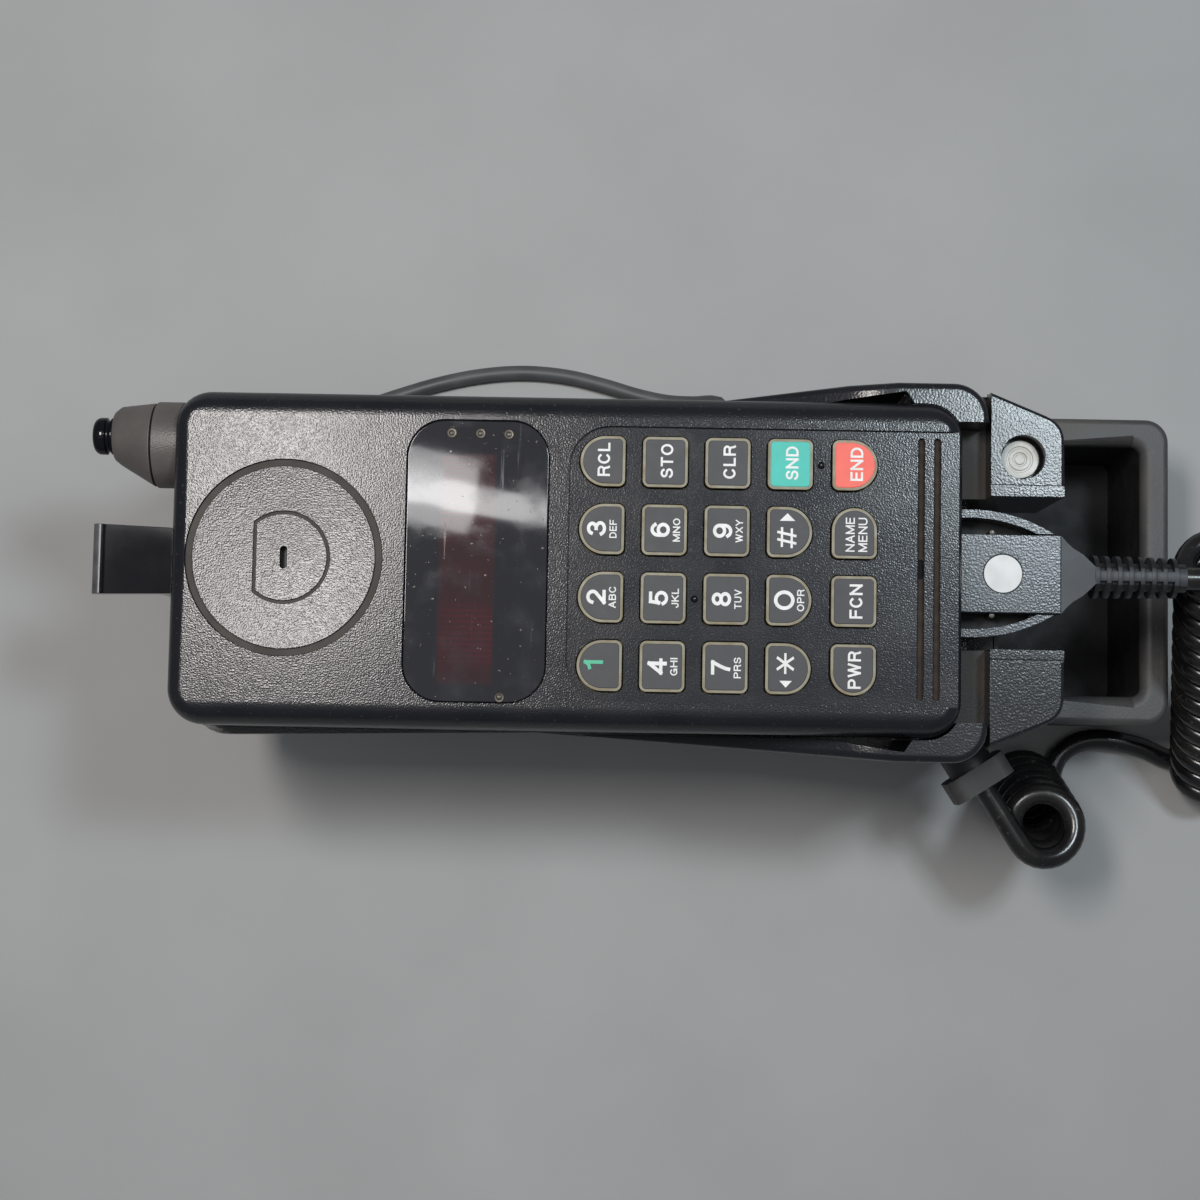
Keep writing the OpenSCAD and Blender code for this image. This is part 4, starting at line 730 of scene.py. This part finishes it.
letterShapes = {
    # each letter's width, then its strokes
    "0": (0.92, [bow(0.5, 0.5, 0.5, 0.5, 0, 360)]),
    "1": (0.44, [[(0, 0.74), (0.55, 0.80), (1, 1)], [(1, 1), (1, 0)]]),
    "2": (0.68, [bow(0.5, 0.70, 0.5, 0.30, 170, -38) + [(0, 0)], [(0, 0), (1, 0)]]),
    "3": (0.68, [bow(0.48, 0.76, 0.46, 0.24, 165, -90), bow(0.48, 0.26, 0.52, 0.26, 90, -165)]),
    "4": (0.72, [[(0.74, 0), (0.74, 1)], [(0.74, 1), (0, 0.27)], [(0, 0.27), (1, 0.27)]]),
    "5": (0.68, [[(0.92, 1), (0.16, 1)], [(0.16, 1), (0.05, 0.48)], bow(0.48, 0.32, 0.52, 0.32, 145, -160)]),
    "6": (0.68, [bow(0.52, 0.64, 0.52, 0.36, 30, 180) + [(0, 0.31)], bow(0.5, 0.31, 0.5, 0.31, 180, 540)]),
    "7": (0.68, [[(0, 1), (1, 1)], [(1, 1), (0.62, 0.52), (0.42, 0.20), (0.36, 0)]]),
    "8": (0.68, [bow(0.5, 0.76, 0.44, 0.24, -90, 270), bow(0.5, 0.26, 0.5, 0.26, 90, 450)]),
    "9": (0.68, [bow(0.48, 0.36, 0.52, 0.36, 210, 360) + [(1, 0.69)], bow(0.5, 0.69, 0.5, 0.31, 0, 360)]),
    "A": (0.80, [[(0, 0), (0.5, 1)], [(0.5, 1), (1, 0)], [(0.2, 0.33), (0.8, 0.33)]]),
    "B": (0.74, [[(0, 0), (0, 1)], [(0, 1), (0.6, 1)] + bow(0.6, 0.77, 0.36, 0.23, 90, -90) + [(0, 0.54)],
                 [(0.6, 0.54)] + bow(0.62, 0.27, 0.38, 0.27, 90, -90) + [(0, 0)]]),
    "C": (0.80, [bow(0.5, 0.5, 0.5, 0.5, 42, 318)]),
    "D": (0.78, [[(0, 0), (0, 1)], [(0, 1), (0.4, 1)] + bow(0.4, 0.5, 0.6, 0.5, 90, -90) + [(0, 0)]]),
    "E": (0.68, [[(1, 1), (0, 1)], [(0, 1), (0, 0)], [(0, 0), (1, 0)], [(0, 0.53), (0.92, 0.53)]]),
    "F": (0.66, [[(1, 1), (0, 1)], [(0, 1), (0, 0)], [(0, 0.52), (0.9, 0.52)]]),
    "G": (0.82, [bow(0.5, 0.5, 0.5, 0.5, 45, 335), [(1, 0.02), (1, 0.44)], [(1, 0.44), (0.56, 0.44)]]),
    "H": (0.78, [[(0, 0), (0, 1)], [(1, 0), (1, 1)], [(0, 0.52), (1, 0.52)]]),
    "I": (0.17, [[(0.5, 0), (0.5, 1)]]),
    "J": (0.60, [[(1, 1), (1, 0.3)] + bow(0.5, 0.3, 0.5, 0.3, 0, -175)]),
    "K": (0.78, [[(0, 0), (0, 1)], [(1, 1), (0, 0.34)], [(0.34, 0.58), (1, 0)]]),
    "L": (0.64, [[(0, 1), (0, 0)], [(0, 0), (1, 0)]]),
    "M": (0.92, [[(0, 0), (0, 1)], [(0, 1), (0.5, 0.06)], [(0.5, 0.06), (1, 1)], [(1, 1), (1, 0)]]),
    "N": (0.80, [[(0, 0), (0, 1)], [(0, 1), (1, 0)], [(1, 0), (1, 1)]]),
    "O": (0.86, [bow(0.5, 0.5, 0.5, 0.5, 0, 360)]),
    "P": (0.74, [[(0, 0), (0, 1)], [(0, 1), (0.6, 1)] + bow(0.6, 0.74, 0.4, 0.26, 90, -90) + [(0, 0.48)]]),
    "R": (0.78, [[(0, 0), (0, 1)], [(0, 1), (0.6, 1)] + bow(0.6, 0.75, 0.38, 0.25, 90, -90) + [(0, 0.50)],
                 [(0.56, 0.50), (0.86, 0.40), (0.93, 0.08), (1, 0)]]),
    "S": (0.74, [bow(0.5, 0.755, 0.45, 0.245, 15, 270) + bow(0.5, 0.255, 0.5, 0.255, 90, -165)]),
    "T": (0.72, [[(0, 1), (1, 1)], [(0.5, 1), (0.5, 0)]]),
    "U": (0.78, [[(0, 1), (0, 0.32)] + bow(0.5, 0.32, 0.5, 0.32, 180, 360) + [(1, 1)]]),
    "V": (0.78, [[(0, 1), (0.5, 0)], [(0.5, 0), (1, 1)]]),
    "W": (1.08, [[(0, 1), (0.26, 0)], [(0.26, 0), (0.5, 1)], [(0.5, 1), (0.74, 0)], [(0.74, 0), (1, 1)]]),
    "X": (0.78, [[(0, 0), (1, 1)], [(0, 1), (1, 0)]]),
    "Y": (0.78, [[(0, 1), (0.5, 0.44)], [(0.5, 0.44), (1, 1)], [(0.5, 0.44), (0.5, 0)]]),
    "*": (0.98, [[(0, 0.5), (1, 0.5)], [(0.2, 0), (0.8, 1)], [(0.2, 1), (0.8, 0)]]),
    "#": (0.98, [[(0.20, 0), (0.40, 1)], [(0.60, 0), (0.80, 1)], [(0, 0.21), (0.94, 0.21)],
                 [(0.06, 0.79), (1, 0.79)]])}
keyLook = {"edge": 0.16 * mm, "printDepth": 0.14 * mm, "rimDepth": 0.30 * mm, "level": 0.8,
           "inkDepth": 0.03 * mm, "inkStep": 0.006 * mm, "arrow": 1.05 * mm, "arrowDown": -0.45 * mm}
keyLegends = {
    # text, stroke width, length, height, offset towards the plug, offset across
    "key_1": [("1", 0.17, 1.75, 3.7, -1.1, 0.1)],
    "key_2": [("2", 0.17, 2.75, 3.75, -0.85, 0), ("ABC", 0.16, 4.2, 1.4, 2.3, 0)],
    "key_3": [("3", 0.17, 2.75, 3.7, -1.0, 0.1), ("DEF", 0.16, 3.5, 1.4, 2.2, 0)],
    "key_4": [("4", 0.17, 3.1, 3.7, -0.95, 0), ("GHI", 0.16, 3.4, 1.4, 2.25, 0)],
    "key_5": [("5", 0.17, 2.75, 3.7, -0.9, 0), ("JKL", 0.16, 3.7, 1.4, 2.3, 0)],
    "key_6": [("6", 0.17, 2.75, 3.75, -0.8, 0), ("MNO", 0.16, 4.5, 1.4, 2.35, 0)],
    "key_7": [("7", 0.17, 2.75, 3.7, -0.85, 0), ("PRS", 0.16, 4.0, 1.4, 2.35, 0)],
    "key_8": [("8", 0.17, 2.75, 3.75, -0.9, 0), ("TUV", 0.16, 3.75, 1.4, 2.3, 0)],
    "key_9": [("9", 0.17, 2.75, 3.75, -0.85, 0), ("WXY", 0.16, 4.4, 1.4, 2.35, 0)],
    "key_0": [("0", 0.17, 3.8, 4.0, -0.9, 0), ("OPR", 0.16, 4.2, 1.4, 2.25, 0)],
    "key_star": [("*", 0.13, 4.0, 3.3, -0.55, 1.0)],
    "key_hash": [("#", 0.12, 4.05, 3.7, -0.55, -1.1)],
    "key_rcl": [("RCL", 0.17, 6.5, 2.4, 0.2, 0.3)],
    "key_sto": [("STO", 0.17, 6.6, 2.4, 0.3, 0.2)],
    "key_clr": [("CLR", 0.17, 6.5, 2.4, 0.3, 0.2)],
    "key_snd": [("SND", 0.17, 6.5, 2.45, 0.3, 0.2)],
    "key_end": [("END", 0.17, 6.5, 2.45, 0.3, 0.2)],
    "key_menu": [("NAME", 0.145, 6.6, 1.75, -0.85, -0.3), ("MENU", 0.145, 6.6, 1.75, 1.6, -0.3)],
    "key_fcn": [("FCN", 0.17, 6.6, 2.5, 0.4, 0)],
    "key_pwr": [("PWR", 0.17, 7.2, 2.5, 0.2, 0)]}
keyArrows = {
    # turn, width and height against an even triangle, offset across
    "key_star": (180, 1.32, 0.83, -2.75), "key_hash": (0, 1.65, 0.95, 2.65)}


def ribbon(line, wide, top, vertices, faces):
    # a flat stroke along a line; a line that ends where it starts is closed
    closed = (line[0] - line[-1]).length < letterLook["join"]
    if closed:
        line.pop()
    else:
        line[0] += (line[0] - line[1]).normalized() * wide / 2
        line[-1] += (line[-1] - line[-2]).normalized() * wide / 2
    first, count = len(vertices), len(line)
    for i, at in enumerate(line):
        before = line[i - 1] if closed or i else at
        after = line[(i + 1) % count] if closed or i < count - 1 else at
        along = (after - before).normalized()
        side = Vector((-along.y, along.x)) * wide / 2
        vertices += [(*(at + side), top), (*(at - side), top), (*(at - side), -top), (*(at + side), -top)]
    for i in range(count if closed else count - 1):
        a, b = first + 4 * i, first + 4 * ((i + 1) % count)
        faces += [(a + k, a + (k + 1) % 4, b + (k + 1) % 4, b + k) for k in range(4)]
    if not closed:
        last = first + 4 * (count - 1)
        faces += [(first + 3, first + 2, first + 1, first), (last, last + 1, last + 2, last + 3)]


def legend(text, stroke, length, height, place, material):
    vertices, faces, pen = [], [], 0
    for letter in text:
        wide, strokes = letterShapes[letter]
        for layer, points in enumerate(strokes):
            line = [Vector((pen + stroke / 2 + x * (wide - stroke), stroke / 2 + y * (1 - stroke)))
                    for x, y in points]
            # where strokes cross, one lies on the other
            ribbon(line, stroke, keyLook["inkDepth"] + layer * keyLook["inkStep"], vertices, faces)
        pen += wide + letterLook["spacing"]
    pen -= letterLook["spacing"]
    mesh = bpy.data.meshes.new("legend")
    mesh.from_pydata(vertices, [], faces)
    letters = bpy.data.objects.new("legend", mesh)
    bpy.context.scene.collection.objects.link(letters)
    mesh.transform(Matrix.Translation((-pen / 2, -0.5, 0)))
    letters.scale = (length * mm / pen, height * mm, 1)
    letters.rotation_euler.z = math.radians(letterLook["turn"])
    letters.location = place
    bake(letters)
    paint(letters, material)
    return letters


def arrow(turn, wide, high, place, material):
    clearSelection()
    bpy.ops.mesh.primitive_circle_add(vertices=3, radius=keyLook["arrow"], fill_type="NGON")
    mark = bpy.context.object
    bpy.ops.object.mode_set(mode="EDIT")
    bpy.ops.mesh.select_all(action="SELECT")
    bpy.ops.mesh.extrude_region_move(TRANSFORM_OT_translate={"value": (0, 0, keyLook["inkDepth"])})
    bpy.ops.object.mode_set(mode="OBJECT")
    mark.scale = (wide, high, 1)
    mark.rotation_euler.z = math.radians(turn)
    mark.location = place
    bake(mark)
    paint(mark, material)
    return mark


# keys: dark aged sides, a cream border and a printed top with its legend

def makeKeys():
    tops = {"key_snd": sendTop, "key_end": endTop}
    for node, legends in keyLegends.items():
        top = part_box(node)[1].z
        key = softCopy(node, node.replace("key_", "key."), keyLook["edge"])
        paint(key, keySide, tops.get(node, keyTop), keyRim)
        paintFaces(key, 2, lambda c, n: n.z > keyLook["level"] and c.z > top - keyLook["rimDepth"])
        paintFaces(key, 1, lambda c, n: c.z > top - keyLook["printDepth"])
        ink = legendMint if node == "key_1" else legendWhite
        centre = middle(node)
        centre.z = top
        marks = [legend(text, stroke, length, height, centre + Vector((down * mm, along * mm, 0)), ink)
                 for text, stroke, length, height, down, along in legends]
        if node in keyArrows:
            turn, wide, high, along = keyArrows[node]
            place = centre + Vector((keyLook["arrowDown"], along * mm, 0))
            marks.append(arrow(turn, wide, high, place, ink))
        clearSelection()
        for mark in marks:
            mark.select_set(True)
        key.select_set(True)
        bpy.context.view_layer.objects.active = key
        bpy.ops.object.join()
    print("keys made:", len(keyLegends))


makeKeys()


# antenna

antennaLook = {"sleeveEdge": 0.25 * mm, "tipEdge": 0.2 * mm}


def makeAntenna():
    paint(softCopy("antenna_sleeve", "antennaSleeve", antennaLook["sleeveEdge"]), sleevePlastic)
    paint(softCopy("antenna_tip", "antennaTip", antennaLook["tipEdge"]), clipPlastic)
    print("antenna made")


makeAntenna()


# plug and its strain relief

plugLook = {
    "edge": 0.2 * mm, "coverEdge": 0.25 * mm, "dotEdge": 0.08 * mm, "floorRise": 1.4 * mm, "floorTilt": 0.3,
    "pin": (7 * mm, 8.2 * mm), "pinReach": 0.7 * mm, "pinRise": 1.5 * mm,
    "ribStart": 27 * mm, "spine": 1.6 * mm,
    "covers": {"plug_cover": "plugCover", "plug_arm_upper": "plugArmUpper", "plug_arm_lower": "plugArmLower"}}


def makePlug():
    look = plugLook
    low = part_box("plug_base")[0].z
    base = softCopy("plug_base", "plugBase", look["edge"])
    paint(base, slatePlastic, paintedShade, ringMetal)
    pinX, pinY = look["pin"]
    # the low upward faces between the arms are painted dark: painted shade
    paintFaces(base, 1, lambda c, n: c.z < low + look["floorRise"] and n.z > look["floorTilt"])
    paintFaces(base, 2, lambda c, n: abs(abs(c.y) - pinY) < look["pinReach"] and c.z > low + look["pinRise"]
               and abs(c.x - footEnd.x - pinX) < look["pinReach"])
    for node, name in look["covers"].items():
        paint(softCopy(node, name, look["coverEdge"]), slatePlastic)
    boot = softCopy("plug_boot", "plugBoot", look["edge"])
    paint(boot, bootRubber, ribRubber)
    paintFaces(boot, 1, lambda c, n: c.x > footEnd.x + look["ribStart"] and abs(c.y) > look["spine"])
    paint(softCopy("plug_dot", "plugDot", look["dotEdge"]), dotPlastic)
    print("plug made")


makePlug()


# cradle: a cup with rolled rims and a dusty shelf, on its base

cupLook = {
    "edge": 0.25 * mm, "baseEdge": 0.4 * mm,
    "rim": (1.5 * mm, 4), "earRim": (0.8 * mm, 3),  # width and segments
    "start": -60 * mm, "footStart": 3 * mm, "earStart": 6.3 * mm, "earLine": 18.6 * mm, "buttonReach": 6 * mm,
    "rimDrop": 14 * mm, "shelfZ": 68 * mm, "shelfFlat": 0.1 * mm, "level": 0.9, "outward": 0.3}
buttonMiddle = middle("ear_button")


def onShelf(place):
    return abs(place.z - cupLook["shelfZ"]) < cupLook["shelfFlat"]


def cupRim(centre, side):
    # the outer rim of the cup, up to where the ears begin and without the shelf
    look = cupLook
    along = centre.x - footEnd.x
    if centre.z < look["shelfZ"] - look["rimDrop"] or not look["start"] < along < look["earStart"]:
        return False
    if onShelf(centre):
        return False
    sideways = side.y * centre.y > look["outward"] * abs(centre.y)
    return sideways or (side.x > look["outward"] and along > look["footStart"])


def earRim(centre, side):
    # the far edges of the ears, without the button's hole and the inner strips
    look = cupLook
    far = (centre - buttonMiddle).to_2d().length > look["buttonReach"]
    return (centre.x > footEnd.x + look["earStart"] and centre.z > look["shelfZ"]
            and abs(centre.y) > look["earLine"] and side.x > look["outward"] and far)


def makeCradle():
    rims = [(*cupLook["rim"], cupRim), (*cupLook["earRim"], earRim)]
    cup = softCopy("cradle_cup", "cradleCup", cupLook["edge"], rims=rims)
    paint(cup, cradlePlastic, shelfDust)
    paintFaces(cup, 1, lambda c, n: n.z > cupLook["level"] and onShelf(c))
    paint(softCopy("cradle_base", "cradleBase", cupLook["baseEdge"]), basePlastic)
    print("cradle made")


makeCradle()


# clip with a painted highlight on its tip, and the button on its spring

clipLook = {"edge": 0.35 * mm, "segments": 3, "highlightReach": 1.8 * mm, "highlightTilt": 0.1}
buttonLook = {"edge": 0.15 * mm, "springEdge": 0.03 * mm}


def makeClip():
    clip = softCopy("head_clip", "headClip", clipLook["edge"], clipLook["segments"])
    paint(clip, clipPlastic, clipPaintedHighlight)
    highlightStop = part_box("head_clip")[0].x + clipLook["highlightReach"]
    # the tip's upper faces are painted lighter: a painted highlight
    paintFaces(clip, 1, lambda c, n: c.x < highlightStop and n.z > clipLook["highlightTilt"])
    print("clip made")


def makeButton():
    paint(softCopy("ear_button", "earButton", buttonLook["edge"]), creamPlastic)
    spring = softCopy("button_spring", "buttonSpring", buttonLook["springEdge"], rides=False)
    paint(spring, steelFinish)
    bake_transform(spring)
    print("button made")


makeClip()
makeButton()


# console box with its well painted dark as shade, and the deck over it

boxLook = {
    "edge": 0.4 * mm, "deckEdge": 0.3 * mm, "rim": (2.4 * mm, 5), "rimStart": 19 * mm, "rimFlat": 0.1 * mm,
    "wellDrop": 2.5 * mm, "wellX": (15.5 * mm, 47.4 * mm), "wellY": (-23 * mm, 32.6 * mm), "wellTilt": -0.5}
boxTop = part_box("console_box")[1].z


def wellRim(centre, side):
    # the top edges of the well's three free walls
    return centre.x > footEnd.x + boxLook["rimStart"] and centre.z > boxTop - boxLook["rimFlat"]


def makeBox():
    look = boxLook
    box = softCopy("console_box", "consoleBox", look["edge"], rims=[(*look["rim"], wellRim)])
    paint(box, boxPlastic, paintedShade)
    (x0, x1), (y0, y1) = look["wellX"], look["wellY"]
    # the well's floor and walls are painted dark: painted shade
    paintFaces(box, 1, lambda c, n: c.z < boxTop - look["wellDrop"] and footEnd.x + x0 < c.x < footEnd.x + x1
               and y0 < c.y < y1 and n.z > look["wellTilt"])
    paint(softCopy("deck_plate", "deckPlate", look["deckEdge"]), boxPlastic)
    print("box made")


makeBox()


# what stays as its solid gets its finish

solidFinish = {
    "display_module": displayFace, "earpiece_speaker": basePlastic, "logic_board": boardLaminate,
    "keypad_mat": matRubber, "microphone": clipPlastic, "accessory_socket": basePlastic,
    "housing_screws": steelFinish, "antenna_whip": steelFinish, "plug_contacts": goldFinish,
    "cradle_screws": steelFinish, "rest_pads": padRubber, "clip_pin": steelFinish, "clip_spring": steelFinish,
    "box_screws": steelFinish, "interface_board": boardLaminate,
    "cord_socket": basePlastic, "cord_collar": socketRubber, "lead_glands": basePlastic}
for node, material in solidFinish.items():
    paint(nodes[node], material)
print("solids finished:", len(solidFinish))
